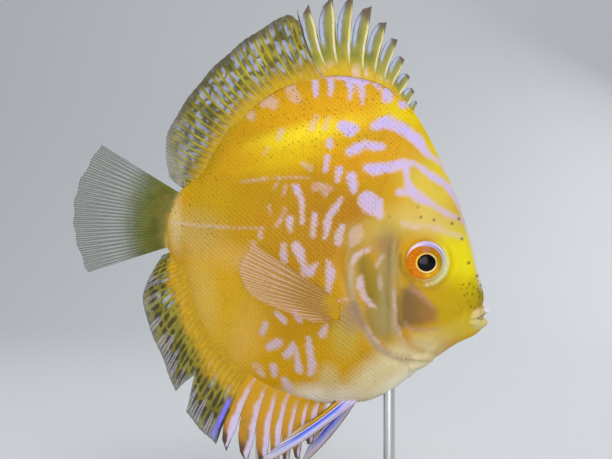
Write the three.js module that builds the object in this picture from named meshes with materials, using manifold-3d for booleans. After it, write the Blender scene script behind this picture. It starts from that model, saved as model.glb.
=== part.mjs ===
// A discus fish as a still, life-size display model: the body is parted into head, jaw, gill covers,
// trunk and tail base, with each fin and eye a piece of its own, held by two rods on a flat base.
// Millimetres, +Z up, the head towards +X, the fish's left side towards +Y.
// The origin is the middle of the base's underside.
import * as THREE from "three";
import { mergeVertices } from "three/addons/utils/BufferGeometryUtils.js";
import Module from "manifold-3d";

const wasm = await Module();
wasm.setup();

// Driving dimensions
const GAP = 0.35; // thin cut between two pieces
const ACROSS = 40; // clear of the fish on either side
const BODY_HEIGHT = 104; // the body's middle above the floor
const MAX_HALF_WIDTH = 13; // thickest at the gill covers
const FIN_ROOT = 1.7; // thickness of a middle fin at the body
const FIN_EDGE = 0.8; // thickness of a fin at its edge

// Landmarks of the body's outline from the mouth over the back to the tail, [forward, up] of its middle.
const MOUTH = [61.4, -29.9];
const UPPER_LIP = [63.4, -28.2];
const LIP_NOTCH = [61.7, -26.0];
const SNOUT = [61.2, -20.1];
const BROW = [56.4, -1.0];
const FOREHEAD = [50.2, 16.8];
const NAPE = [39.2, 38.6];
const BACK_FRONT = [28.3, 50.2];
const BACK_TOP = [12.0, 54.4];
const BACK_MIDDLE = [-5.0, 52.2];
const BACK_REAR = [-25.3, 38.4];
const BACK_LOW = [-37.1, 20.4];
const TAIL_TOP = [-45.2, 13.3];
const TAIL_END = [-49.6, 3.0];
// and from the mouth under the belly to the tail.
const LOWER_LIP = [62.5, -32.0];
const CHIN = [57.8, -35.8];
const JAW = [50.0, -40.0];
const THROAT = [41.4, -46.7];
const BREAST = [28.9, -56.5];
const PELVIS = [16.5, -60.4];
const BELLY = [0.0, -59.6];
const BELLY_REAR = [-20.2, -52.4];
const FLANK_LOW = [-35.0, -37.0];
const FLANK_REAR = [-43.4, -16.8];
const TAIL_BOTTOM = [-49.4, -6.6];

const back = new THREE.SplineCurve(
  [
    MOUTH,
    UPPER_LIP,
    LIP_NOTCH,
    SNOUT,
    BROW,
    FOREHEAD,
    NAPE,
    BACK_FRONT,
    BACK_TOP,
    BACK_MIDDLE,
    BACK_REAR,
    BACK_LOW,
    TAIL_TOP,
    TAIL_END,
  ].map(([x, z]) => new THREE.Vector2(x, z)),
);
const belly = new THREE.SplineCurve(
  [
    MOUTH,
    LOWER_LIP,
    CHIN,
    JAW,
    THROAT,
    BREAST,
    PELVIS,
    BELLY,
    BELLY_REAR,
    FLANK_LOW,
    FLANK_REAR,
    TAIL_BOTTOM,
    TAIL_END,
  ].map(([x, z]) => new THREE.Vector2(x, z)),
);

// The half width as a share of the greatest one, [share of the way from mouth to tail, width].
const WIDTHS = new THREE.SplineCurve(
  [
    [0, 0],
    [0.03, 0.22],
    [0.08, 0.42],
    [0.16, 0.68],
    [0.26, 0.92],
    [0.36, 1],
    [0.5, 0.96],
    [0.65, 0.8],
    [0.8, 0.54],
    [0.92, 0.31],
    [0.975, 0.2],
    [1, 0],
  ].map(([s, w]) => new THREE.Vector2(s, w)),
);

const { clamp, lerp, smoothstep } = THREE.MathUtils;

// Reads a spline of rising x as a function of x.
function heightAt(curve, x) {
  let low = 0;
  let high = 1;
  for (let i = 0; i < 30; i++) {
    const middle = (low + high) / 2;
    if (curve.getPoint(middle).x < x) low = middle;
    else high = middle;
  }
  return curve.getPoint((low + high) / 2).y;
}

// The share of the half width at a point that is down of 0 to 1 from back to belly.
function section(down, along) {
  const lens = Math.sin(Math.PI * Math.pow(down, 1.12));
  const oval = 2 * Math.sqrt(Math.max(down * (1 - down), 0));
  const breast = smoothstep(down, 0.5, 0.95) * (1 - smoothstep(along, 0.45, 0.6));
  const headRound = 0.25 * (1 - smoothstep(along, 0.1, 0.35));
  const roundness = clamp(0.42 + headRound + 0.35 * breast, 0, 1);
  return lens * (1 - roundness) + oval * roundness;
}

// The sides of the mouth lie further back than its middle, over a short share of the way to the tail.
const MOUTH_SWEEP = 5;
const MOUTH_REACH = 0.025;

// A point of the body's surface: along is 0 at the mouth and 1 at the tail, and the angle
// runs round from the back (0) by the right side to the belly (pi) and up the left side.
function bodyPoint(along, angle) {
  const top = back.getPointAt(along);
  const bottom = belly.getPointAt(along);
  const down = (1 - Math.cos(angle)) / 2;
  const half = MAX_HALF_WIDTH * heightAt(WIDTHS, along) * section(down, along);
  const side = Math.sin(angle) >= 0 ? -1 : 1;
  const mouthSweep = MOUTH_SWEEP * Math.exp(-along / MOUTH_REACH) * Math.sin(angle) ** 2;
  const shut = along < 1e-6 || along > 1 - 1e-6;
  return [
    lerp(top.x, bottom.x, down) - (shut ? 0 : mouthSweep),
    shut ? 0 : side * half,
    lerp(top.y, bottom.y, down),
  ];
}

// Solid from a geometry, whose vertices are merged first.
function solid(geometry) {
  const bare = new THREE.BufferGeometry();
  bare.setAttribute("position", geometry.getAttribute("position"));
  if (geometry.index) bare.setIndex(geometry.index);
  const merged = mergeVertices(bare, 1e-4);
  return new wasm.Manifold(
    new wasm.Mesh({
      numProp: 3,
      vertProperties: new Float32Array(merged.attributes.position.array),
      triVerts: new Uint32Array(merged.index.array),
    }),
  );
}

// Turns every face round, for a mapping that mirrors.
function turnedRound(geometry) {
  const index = geometry.index.array;
  for (let i = 0; i < index.length; i += 3) {
    [index[i + 1], index[i + 2]] = [index[i + 2], index[i + 1]];
  }
  return geometry;
}

const BODY_RINGS = 32;
const BODY_SPOKES = 20;

// The whole body without fins, swollen by a little where something else is cut by it.
function wholeBody(swollen = 0) {
  const geometry = new THREE.SphereGeometry(1, BODY_SPOKES, BODY_RINGS);
  const at = geometry.getAttribute("position");
  const uv = geometry.getAttribute("uv");
  for (let i = 0; i < at.count; i++) {
    const row = Math.floor(i / (BODY_SPOKES + 1)) / BODY_RINGS;
    const along = (1 - Math.cos(Math.PI * row)) / 2 * 0.35 + row * 0.65;
    const column = i % (BODY_SPOKES + 1);
    const round = row === 0 || row === 1 || column === BODY_SPOKES ? 0 : uv.getX(i);
    at.setXYZ(i, ...bodyPoint(along, 2 * Math.PI * round));
  }
  const bare = new THREE.BufferGeometry();
  bare.setAttribute("position", at);
  bare.setIndex(geometry.index);
  const merged = mergeVertices(bare, 1e-4);
  merged.computeVertexNormals();
  const place = merged.getAttribute("position");
  const normal = merged.getAttribute("normal");
  const outwards = solid(merged).volume() > 0 ? 1 : -1;
  if (outwards < 0) turnedRound(merged);
  for (let i = 0; i < place.count; i++) {
    place.setXYZ(
      i,
      place.getX(i) + swollen * outwards * normal.getX(i),
      place.getY(i) + swollen * outwards * normal.getY(i),
      place.getZ(i) + swollen * outwards * normal.getZ(i),
    );
  }
  return solid(merged);
}

// A block with this outline, [forward, up], from one depth to another across the fish.
function block(outline, from, to) {
  const shape = new THREE.Shape(outline.map(([x, z]) => new THREE.Vector2(x, z)));
  const geometry = new THREE.ExtrudeGeometry(shape, { depth: to - from, bevelEnabled: false });
  geometry.rotateX(Math.PI / 2);
  geometry.translate(0, to, 0);
  return solid(geometry);
}

// The points of a smooth line through a few landmarks.
function line(points, steps) {
  const curve = new THREE.SplineCurve(points.map(([x, z]) => new THREE.Vector2(x, z)));
  return curve.getSpacedPoints(steps).map((p) => [p.x, p.y]);
}

// An outline grown outwards by the same width all round.
function grown(outline, by) {
  const turns = THREE.ShapeUtils.area(outline.map(([x, y]) => ({ x, y }))) > 0 ? 1 : -1;
  return outline.map(([x, z], i) => {
    const before = outline[(i + outline.length - 1) % outline.length];
    const after = outline[(i + 1) % outline.length];
    const along = new THREE.Vector2(x - before[0], z - before[1]).normalize();
    along.add(new THREE.Vector2(after[0] - x, after[1] - z).normalize()).normalize();
    return [x + turns * along.y * by, z - turns * along.x * by];
  });
}

// Head, gill covers and jaw
const COVER_EDGE = [
  [27.0, 3.0],
  [19.0, 0.5],
  [14.2, -6.8],
  [13.8, -14.6],
  [15.8, -23.0],
  [20.2, -33.0],
  [27.6, -42.0],
  [37.0, -46.4],
];
const COVER_FRONT = [
  [37.6, -43.6],
  [33.2, -38.0],
  [30.2, -31.0],
  [28.6, -22.0],
  [28.4, -12.0],
  [29.4, -3.0],
];
const coverOutline = [...line(COVER_EDGE, 12), ...line(COVER_FRONT, 7)];
const headEdge = [
  ...line([[43.0, 46.0], NAPE, [29.5, 20.0], [22.0, 6.0], ...COVER_EDGE.slice(1)], 18),
  [47.0, -60.0],
  [80.0, -60.0],
  [80.0, 46.0],
];
const COVER_DEPTH = 5.5; // from the middle plane to the inside of a gill cover
const jawOutline = [
  [70.0, -30.1],
  [61.8, -30.1],
  [56.0, -31.0],
  [51.2, -35.6],
  [48.0, -46.0],
  [70.0, -46.0],
];

// The tail base lies behind this line.
const TAIL_CUT = [
  [-60.0, 30.0],
  [-36.4, 30.0],
  [-38.4, 6.0],
  [-40.4, -12.0],
  [-41.0, -30.0],
  [-60.0, -30.0],
];

// Eyes
const EYE_PLACE = [41.7, -10.8];
const EYE_RADIUS = 7.1;
const EYE_HALF_DEPTH = 3.6;
const EYE_OUT = 9.6; // from the middle plane to an eye's middle
const EYE_TURN = 0.2; // radians that an eye looks forwards
function eyeball(side, swollen) {
  const geometry = new THREE.SphereGeometry(1, 18, 9);
  geometry.scale(EYE_RADIUS + swollen, EYE_RADIUS + swollen, EYE_HALF_DEPTH + swollen);
  geometry.rotateX(Math.PI / 2);
  geometry.rotateZ(-side * EYE_TURN);
  geometry.translate(EYE_PLACE[0], side * EYE_OUT, EYE_PLACE[1]);
  return solid(geometry);
}

// A fin is a thin plate woven over its rays. A ray runs from the foot curve to the tip curve at the
// same share of each, bent backwards. height is how far up its rays the web reaches.
function plate({ foot, tip, columns, rows, bend, height, sideways, thickness }) {
  const geometry = new THREE.BoxGeometry(1, 1, 1, columns.length - 1, rows, 1);
  const at = geometry.getAttribute("position");
  for (let i = 0; i < at.count; i++) {
    const place = Math.round((at.getX(i) + 0.5) * (columns.length - 1));
    const along = columns[place];
    const up = (at.getY(i) + 0.5) * height(along);
    const a = foot(along);
    const b = tip(along);
    const lean = bend * 4 * up * (1 - up);
    const dx = b[0] - a[0];
    const dz = b[1] - a[1];
    const half = (Math.sign(at.getZ(i)) * thickness(along, up)) / 2;
    at.setXYZ(i, a[0] + dx * up - dz * lean, sideways(along, up) + half, a[1] + dz * up + dx * lean);
  }
  const made = solid(geometry);
  return made.volume() < 0 ? solid(turnedRound(geometry)) : made;
}

const even = (count) => Array.from({ length: count + 1 }, (_, i) => i / count);

function curveOf(points) {
  const curve = new THREE.SplineCurve(points.map(([x, z]) => new THREE.Vector2(x, z)));
  return (share) => {
    const p = curve.getPoint(clamp(share, 0, 1));
    return [p.x, p.y];
  };
}

const thinning = (root, edge) => (along, up) => lerp(root, edge, Math.min(1, up * 1.6));

// Free spines stand like teeth: the web falls steeply behind each tip.
function toothed(count, free) {
  return (along) => {
    const behind = (along * count) % 1;
    return 1 - free * smoothstep(behind, 0.3, 0.72) - 0.06 * behind;
  };
}

function toothColumns(count) {
  const steps = [0, 0.34, 0.7, 0.97];
  const found = [];
  for (let i = 0; i < count; i++) {
    for (const step of steps) found.push((i + step) / count);
  }
  return found;
}

// Dorsal fin: ten spines, then the soft rays.
const SPINES_BACK = 10;
const spinyBack = () =>
  plate({
    foot: curveOf([[37.2, 38.0], [31.0, 46.8], [24.4, 50.7], [14.4, 53.0], [6.6, 53.0]]),
    tip: curveOf([[39.0, 43.3], [35.9, 54.1], [29.5, 70.4], [15.4, 82.1], [-3.2, 77.4]]),
    columns: toothColumns(SPINES_BACK),
    rows: 5,
    bend: 0.07,
    height: toothed(SPINES_BACK, 0.5),
    sideways: () => 0,
    thickness: thinning(FIN_ROOT, FIN_EDGE),
  });
const softBack = () =>
  plate({
    foot: curveOf([[6.2, 53.0], [-9.0, 49.6], [-22.9, 39.0], [-32.0, 24.9], [-40.2, 13.4]]),
    tip: curveOf([[-4.2, 77.2], [-20.8, 67.2], [-37.2, 52.6], [-49.4, 34.0], [-48.8, 18.6]]),
    columns: even(20),
    rows: 4,
    bend: 0.05,
    height: () => 1,
    sideways: () => 0,
    thickness: thinning(FIN_ROOT, FIN_EDGE),
  });

// Anal fin: eight spines, then the soft rays, with the split that the fin has in its edge.
const SPINES_BELLY = 8;
const spinyBelly = () =>
  plate({
    foot: curveOf([[8.6, -58.4], [0.0, -57.8], [-10.0, -54.8], [-19.4, -50.4]]),
    tip: curveOf([[6.6, -68.6], [-4.0, -82.4], [-14.6, -85.8], [-31.9, -76.0]]),
    columns: toothColumns(SPINES_BELLY),
    rows: 5,
    bend: -0.06,
    height: toothed(SPINES_BELLY, 0.36),
    sideways: () => 0,
    thickness: thinning(FIN_ROOT, FIN_EDGE),
  });
const SPLIT_PLACE = 0.29;
const SPLIT_REACH = 0.06;
const SPLIT_DEPTH = 0.42;
const softBelly = () =>
  plate({
    foot: curveOf([[-20.0, -50.0], [-32.6, -36.6], [-40.6, -19.2], [-46.2, -7.9]]),
    tip: curveOf([[-32.6, -75.4], [-43.6, -63.6], [-50.4, -47.6], [-58.2, -25.0], [-51.6, -9.2]]),
    columns: even(24),
    rows: 4,
    bend: -0.03,
    height: (along) => {
      const away = Math.abs(along - SPLIT_PLACE) / SPLIT_REACH;
      return 1 - SPLIT_DEPTH * clamp(1 - away, 0, 1);
    },
    sideways: () => 0,
    thickness: thinning(FIN_ROOT, FIN_EDGE),
  });

// Tail fin, a fan of rays.
const tailFan = () =>
  plate({
    foot: curveOf([[-44.6, 12.6], [-47.8, 7.2], [-48.8, 0.6], [-49.2, -6.2]]),
    tip: curveOf([[-73.6, 30.4], [-82.0, 15.0], [-83.4, -0.6], [-78.4, -15.4]]),
    columns: even(16),
    rows: 5,
    bend: 0,
    height: () => 1,
    sideways: () => 0,
    thickness: thinning(2.2, FIN_EDGE),
  });

// A pelvic fin: a long first ray, with a narrow web behind it.
const pelvic = (side) =>
  plate({
    foot: curveOf([[18.4, -58.8], [15.4, -57.2], [12.4, -57.2]]),
    tip: curveOf(
      side < 0
        ? [[-20.4, -84.6], [-9.0, -74.6], [-1.0, -68.0]]
        : [[-3.6, -85.4], [0.6, -76.0], [3.4, -69.8]],
    ),
    columns: even(5),
    rows: 8,
    bend: 0.04,
    height: () => 1,
    sideways: (along, up) => side * (1.9 + (side < 0 ? 1.6 : 4.2) * up),
    thickness: thinning(1.6, FIN_EDGE),
  });

// A pectoral fin: a fan laid back along the flank and standing a little off it.
const pectoral = (side) =>
  plate({
    foot: curveOf([[12.9, -24.4], [12.6, -27.6], [11.9, -30.6]]),
    tip: curveOf([[-16.2, -4.6], [-20.4, -14.0], [-15.0, -22.8], [4.6, -31.0]]),
    columns: even(11),
    rows: 5,
    bend: 0,
    height: () => 1,
    sideways: (along, up) => side * (11.4 + 7.4 * up),
    thickness: thinning(1.2, FIN_EDGE),
  });

// Stand: a flat base with rounded corners, and two rods up into the body.
const BASE_LENGTH = 118;
const BASE_WIDTH = 66;
const BASE_THICK = 8;
const BASE_CORNER = 9;
const BASE_BEVEL = 1.2;
const ROD_HOLE = 3; // depth of a rod's hole in the base
const ROD_SEGMENTS = 20;
const RODS = [
  { name: "stand_rod_front", x: 29, y: 0, radius: 2, top: -47 },
  { name: "stand_rod_back", x: -17, y: 4.8, radius: 1.6, top: -34 },
];

function basePlate() {
  const x = BASE_LENGTH / 2 - BASE_BEVEL;
  const y = BASE_WIDTH / 2 - BASE_BEVEL;
  const r = BASE_CORNER;
  const shape = new THREE.Shape();
  shape.moveTo(-x + r, -y);
  shape.lineTo(x - r, -y);
  shape.absarc(x - r, -y + r, r, -Math.PI / 2, 0);
  shape.lineTo(x, y - r);
  shape.absarc(x - r, y - r, r, 0, Math.PI / 2);
  shape.lineTo(-x + r, y);
  shape.absarc(-x + r, y - r, r, Math.PI / 2, Math.PI);
  shape.lineTo(-x, -y + r);
  shape.absarc(-x + r, -y + r, r, Math.PI, 1.5 * Math.PI);
  const geometry = new THREE.ExtrudeGeometry(shape, {
    depth: BASE_THICK - 2 * BASE_BEVEL,
    bevelThickness: BASE_BEVEL,
    bevelSize: BASE_BEVEL,
    bevelSegments: 1,
    curveSegments: 5,
  });
  geometry.translate(0, 0, BASE_BEVEL);
  return solid(geometry);
}

function rod({ x, y, radius, top }, swollen = 0) {
  const foot = BASE_THICK - ROD_HOLE - BODY_HEIGHT;
  const geometry = new THREE.CylinderGeometry(
    radius + swollen,
    radius + swollen,
    top - foot + 2 * swollen,
    ROD_SEGMENTS,
  );
  geometry.rotateX(Math.PI / 2);
  geometry.translate(x, y, (top + foot) / 2);
  return solid(geometry);
}

// Materials
const skin = new THREE.MeshStandardMaterial({ color: 0xe0a010, roughness: 0.35 });
const finWeb = new THREE.MeshStandardMaterial({ color: 0x8c8a28, roughness: 0.4 });
const eyeGlass = new THREE.MeshStandardMaterial({ color: 0xd87808, roughness: 0.1 });
const wood = new THREE.MeshStandardMaterial({ color: 0x3a2418, roughness: 0.5 });
const steel = new THREE.MeshStandardMaterial({ color: 0xb8b8b8, roughness: 0.3, metalness: 1 });

function piece(name, made, material, lifted = BODY_HEIGHT) {
  const mesh = made.getMesh();
  const geometry = new THREE.BufferGeometry();
  geometry.setAttribute("position", new THREE.BufferAttribute(mesh.vertProperties, 3));
  geometry.setIndex(new THREE.BufferAttribute(mesh.triVerts, 1));
  geometry.computeVertexNormals();
  const placed = new THREE.Mesh(geometry, material);
  placed.name = name;
  placed.position.z = lifted;
  return placed;
}

function flesh() {
  const SIDES = { right: -1, left: 1 };
  let body = wholeBody();
  for (const each of RODS) body = body.subtract(rod(each, GAP));
  for (const side of Object.values(SIDES)) body = body.subtract(eyeball(side, GAP));
  const head = body.intersect(block(headEdge, -ACROSS, ACROSS));
  const behind = body.subtract(block(grown(headEdge, GAP), -ACROSS, ACROSS));
  const tailBlock = block(TAIL_CUT, -ACROSS, ACROSS);
  const wider = block(grown(TAIL_CUT, GAP), -ACROSS, ACROSS);
  const found = [
    piece("trunk", behind.subtract(wider), skin),
    piece("tail_base", behind.intersect(tailBlock), skin),
  ];
  let skull = head.subtract(block(grown(jawOutline, GAP), -ACROSS, ACROSS));
  found.push(piece("lower_jaw", head.intersect(block(jawOutline, -ACROSS, ACROSS)), skin));
  for (const [word, side] of Object.entries(SIDES)) {
    const range = (from) => (side < 0 ? [-ACROSS, -from] : [from, ACROSS]);
    const cover = head.intersect(block(coverOutline, ...range(COVER_DEPTH)));
    found.push(piece(`gill_cover_${word}`, largest(cover), skin));
    const around = grown(coverOutline, GAP);
    skull = skull.subtract(block(around, ...range(COVER_DEPTH - GAP)));
  }
  found.push(piece("head", largest(skull), skin));
  return found;
}

// The largest lump of a solid, without the slivers that a cut leaves.
function largest(made) {
  return made.decompose().sort((a, b) => b.volume() - a.volume())[0];
}

function finsAndEyes() {
  const body = wholeBody(GAP);
  const trimmed = (made) => largest(made.subtract(body));
  const found = [
    piece("dorsal_fin_spines", trimmed(spinyBack()), finWeb),
    piece("dorsal_fin_soft", trimmed(softBack()), finWeb),
    piece("anal_fin_spines", trimmed(spinyBelly()), finWeb),
    piece("anal_fin_soft", trimmed(softBelly()), finWeb),
    piece("tail_fin", trimmed(tailFan()), finWeb),
  ];
  for (const [word, side] of [["right", -1], ["left", 1]]) {
    found.push(piece(`pelvic_fin_${word}`, trimmed(pelvic(side)), finWeb));
    found.push(piece(`pectoral_fin_${word}`, trimmed(pectoral(side)), finWeb));
    found.push(piece(`eye_${word}`, eyeball(side, 0), eyeGlass));
  }
  return found;
}

function stand() {
  let base = basePlate();
  for (const each of RODS) base = base.subtract(rod(each, GAP).translate([0, 0, BODY_HEIGHT]));
  return [
    piece("stand_base", base, wood, 0),
    ...RODS.map((each) => piece(each.name, rod(each), steel)),
  ];
}

const fish = new THREE.Group();
fish.add(...flesh(), ...finsAndEyes(), ...stand());

export default fish;
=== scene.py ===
import math
from types import SimpleNamespace

import bmesh
import bpy
import numpy as np
from mathutils import Matrix, Vector
from mathutils.bvhtree import BVHTree


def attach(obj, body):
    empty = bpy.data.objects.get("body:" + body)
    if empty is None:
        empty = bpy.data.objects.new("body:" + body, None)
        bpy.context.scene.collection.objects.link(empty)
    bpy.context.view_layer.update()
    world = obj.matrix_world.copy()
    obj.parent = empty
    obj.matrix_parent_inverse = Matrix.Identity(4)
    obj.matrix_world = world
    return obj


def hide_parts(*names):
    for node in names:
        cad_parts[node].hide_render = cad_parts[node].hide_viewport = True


bl_info = {
    "name": "Discus fish display model",
    "version": (1, 0, 0),
    "blender": (4, 5, 0),
    "location": "View3D > Sidebar > Discus",
    "description": "Makes a life-size discus fish with scales, fins and a stand",
    "category": "Add Mesh",
}

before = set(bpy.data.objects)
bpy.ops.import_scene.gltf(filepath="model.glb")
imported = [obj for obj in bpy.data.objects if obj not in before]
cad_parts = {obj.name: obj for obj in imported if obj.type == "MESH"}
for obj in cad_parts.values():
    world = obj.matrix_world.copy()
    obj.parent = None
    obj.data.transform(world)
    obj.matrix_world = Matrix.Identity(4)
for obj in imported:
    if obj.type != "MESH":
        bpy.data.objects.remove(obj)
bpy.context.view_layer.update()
MM = 0.001
BODY_HEIGHT = 104.0
FLESH = ("head", "trunk", "tail_base", "lower_jaw", "gill_cover_left", "gill_cover_right")
SIDES = {"right": -1, "left": 1}

# The body's outline over the back and under the belly, from the mouth to the tail, [forward, up].
BACK = [
    [61.4, -29.9], [63.4, -28.2], [61.7, -26.0], [61.2, -20.1], [56.4, -1.0], [50.2, 16.8],
    [39.2, 38.6], [28.3, 50.2], [12.0, 54.4], [-5.0, 52.2], [-25.3, 38.4], [-37.1, 20.4],
    [-45.2, 13.3], [-49.6, 3.0],
]
BELLY = [
    [61.4, -29.9], [62.4, -32.2], [58.6, -36.3], [51.6, -39.8], [41.4, -46.7], [28.9, -56.5],
    [16.5, -60.4], [0.0, -59.6], [-20.2, -52.4], [-35.0, -37.0], [-43.4, -16.8], [-49.4, -6.6],
    [-49.6, 3.0],
]
# The half width as a share of the greatest one, by the share of the way from mouth to tail.
WIDTHS = [
    [0.0, 0.0], [0.03, 0.22], [0.08, 0.42], [0.16, 0.68], [0.26, 0.92], [0.36, 1.0], [0.5, 0.96],
    [0.65, 0.8], [0.8, 0.54], [0.92, 0.31], [0.975, 0.2], [1.0, 0.0],
]
MAX_HALF_WIDTH = 13.0
MOUTH_SWEEP = 5.0
MOUTH_REACH = 0.025

# Lines and places on the head, [forward, up].
GILL_MARGIN = [
    [24.6, 2.2], [18.3, -2.2], [14.6, -6.9], [13.5, -10.6], [14.4, -14.5], [16.6, -22.4],
    [20.9, -32.9], [24.9, -39.4], [29.6, -43.2], [36.0, -45.8], [42.1, -45.1],
]
PREOPERCLE = [
    [29.0, -2.5], [28.3, -10.9], [28.7, -18.6], [30.3, -25.3], [33.0, -31.1], [37.0, -35.6],
    [43.1, -38.2],
]
# The upper lip, the lower lip, the slit and the fold behind them, each with its height and width.
MOUTH = [
    (0.42, 0.9, [[62.4, -27.7], [61.2, -28.3], [58.2, -30.0]]),
    (0.62, 1.2, [[62.0, -32.2], [60.2, -32.4], [57.8, -31.9]]),
    (-0.85, 0.4, [[62.4, -29.9], [60.2, -30.2], [57.0, -31.0]]),
    (-0.4, 0.7, [[61.9, -25.8], [59.6, -26.4], [56.6, -29.6], [56.0, -32.0], [57.0, -34.4]]),
]
CHEEK_FOLD = [[54.6, -26.8], [53.4, -31.2], [54.6, -35.0]]
EYE_PLACE = [41.5, -10.8]
EYE_RADIUS = 7.1
EYE_HALF_DEPTH = 3.6
EYE_OUT = 9.6
EYE_TURN = 0.2
PORES = [
    [39.0, 7.6], [40.0, 4.2], [44.4, 3.2], [50.5, 2.0], [52.9, 3.6], [53.9, -3.2], [29.3, 4.2],
    [59.1, -15.9],
]
NOSTRIL = [56.3, -11.4]

# Lilac markings on the sides, each a line of [forward, up, half width].
MARKINGS = [
    [[24.7, 35.4, 1.6], [28.8, 37.2, 2.2], [32.2, 35.5, 2.1], [35.9, 33.1, 2.0], [39.3, 30.4, 2.2],
     [41.4, 26.9, 1.4], [43.4, 24.9, 0.8], [45.5, 23.9, 0.9], [47.6, 21.5, 0.6],
     [49.3, 18.8, 0.39]],
    [[21.8, 20.9, 1.5], [24.2, 20.5, 2.2], [27.9, 20.9, 1.8], [31.2, 21.6, 1.9], [34.3, 22.3, 1.8],
     [37.0, 22.6, 1.0]],
    [[34.9, 21.9, 1.5], [35.3, 18.5, 1.1], [35.6, 15.4, 1.2], [36.7, 13.0, 2.0], [39.0, 11.0, 1.9],
     [42.4, 9.3, 1.4], [45.8, 7.0, 1.0], [49.2, 5.3, 1.0], [52.2, 3.9, 0.8], [55.8, 1.9, 0.6]],
    [[33.0, 12.7, 1.4], [36.7, 13.0, 1.8]],
    [[38.0, 22.3, 0.6], [41.0, 20.3, 1.1], [44.4, 17.9, 1.3], [47.9, 15.6, 1.3], [50.3, 13.2, 1.2],
     [52.7, 9.1, 0.9], [54.4, 5.7, 0.6]],
    [[22.2, 9.6, 3.3], [23.9, 8.3, 3.5], [26.3, 5.2, 1.8]],
    [[16.0, 26.4, 1.5], [18.3, 27.4, 1.9], [21.4, 29.1, 1.5], [24.8, 28.1, 1.7], [27.1, 28.1, 1.1]],
    [[13.4, 35.5, 1.9], [15.9, 34.4, 2.7], [17.6, 34.7, 1.9]],
    [[9.1, 30.3, 1.0], [9.1, 28.9, 1.2]],
    [[8.5, 24.7, 0.8], [8.2, 22.3, 0.9], [7.9, 20.2, 0.6]],
    [[12.7, 19.9, 1.3], [12.0, 16.8, 0.9]],
    [[16.8, 17.8, 1.7], [17.5, 15.1, 1.8], [17.8, 13.0, 1.0]],
    [[-2.3, 14.5, 1.3], [-1.6, 13.1, 1.3], [-0.2, 10.7, 0.8], [0.2, 7.3, 0.9], [0.2, 2.5, 0.8]],
    [[-3.9, 3.6, 1.3], [-4.3, 1.2, 1.0], [-3.9, -0.5, 0.6]],
    [[4.3, 4.9, 1.0], [4.3, 2.2, 1.0], [4.0, -1.9, 0.9]],
    [[13.4, 10.3, 0.8], [11.8, 7.9, 1.2], [9.8, 5.2, 0.9], [8.8, 2.5, 1.3], [8.8, -0.2, 1.0],
     [7.8, -2.9, 0.6]],
    [[13.9, 0.8, 0.9], [12.5, -2.2, 1.3], [12.2, -4.6, 0.9]],
    [[-6.3, -5.6, 0.8], [-6.3, -8.3, 1.3], [-5.6, -10.4, 1.0]],
    [[-1.8, -5.6, 1.6], [-0.8, -7.6, 2.0], [0.2, -11.0, 0.9], [1.6, -14.4, 1.8], [3.0, -14.4, 1.6],
     [5.0, -11.7, 0.8]],
    [[9.1, -11.0, 0.8], [9.8, -14.3, 1.7], [9.4, -17.7, 1.3], [9.1, -21.1, 1.0]],
    [[-9.0, -28.6, 0.8], [-7.3, -30.3, 1.3], [-5.9, -31.6, 0.9]],
    [[-2.4, -28.1, 1.1], [-1.0, -30.9, 1.0]],
    [[-13.0, -32.8, 1.0], [-14.1, -35.7, 1.0]],
    [[-11.8, -40.6, 1.3], [-8.9, -39.1, 1.8]],
    [[-3.3, -39.2, 0.8], [-4.4, -42.1, 1.6], [-5.8, -43.2, 1.3]],
    [[-2.6, -41.3, 0.9], [-2.0, -44.8, 1.1], [-1.4, -48.7, 1.3]],
    [[2.0, -37.0, 0.8], [2.3, -40.2, 1.3], [2.6, -43.3, 1.0], [3.2, -46.8, 1.5], [2.4, -49.3, 1.3]],
    [[8.3, -32.8, 0.8], [6.9, -35.5, 1.5]],
    [[-10.6, -47.7, 1.3], [-10.4, -50.2, 1.1]],
    [[-6.9, -52.2, 1.3], [-5.6, -54.0, 1.6], [-5.0, -56.2, 0.9]],
    [[-19.1, -57.5, 1.0], [-19.8, -60.7, 1.3], [-21.6, -63.9, 1.0]],
    [[-14.5, -58.5, 1.0], [-14.8, -62.4, 1.4], [-13.8, -65.2, 1.3]],
    [[-9.5, -61.9, 1.3], [-8.8, -64.4, 1.5]],
    [[17.3, -10.9, 0.7], [18.3, -8.9, 0.9], [20.3, -7.6, 0.8], [23.0, -6.6, 0.49]],
    [[19.6, -16.3, 1.1], [19.6, -19.0, 1.3], [20.9, -22.4, 0.9], [23.3, -25.4, 0.8],
     [25.0, -26.7, 0.52]],
    [[2.2, 53.2, 0.8], [5.7, 53.9, 1.0], [9.6, 53.4, 1.0], [13.8, 53.0, 1.1], [17.6, 51.5, 1.5],
     [21.4, 51.5, 1.1]],
    [[3.6, 52.8, 1.0], [3.8, 49.1, 1.2], [4.2, 46.6, 0.8]],
    [[8.9, 53.1, 1.0], [9.4, 49.0, 1.0], [9.1, 46.5, 0.6]],
    [[15.5, 51.9, 1.3], [16.3, 48.2, 1.1], [16.0, 45.3, 0.6]],
    [[19.3, 51.1, 1.3], [20.1, 46.4, 1.0], [20.2, 43.5, 0.6]],
    [[24.5, 50.8, 1.0], [25.9, 48.9, 1.0]],
    [[28.3, 47.5, 1.8], [29.0, 45.4, 2.0]],
    [[33.8, 43.0, 1.5], [36.6, 43.5, 0.9]],
]
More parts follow.
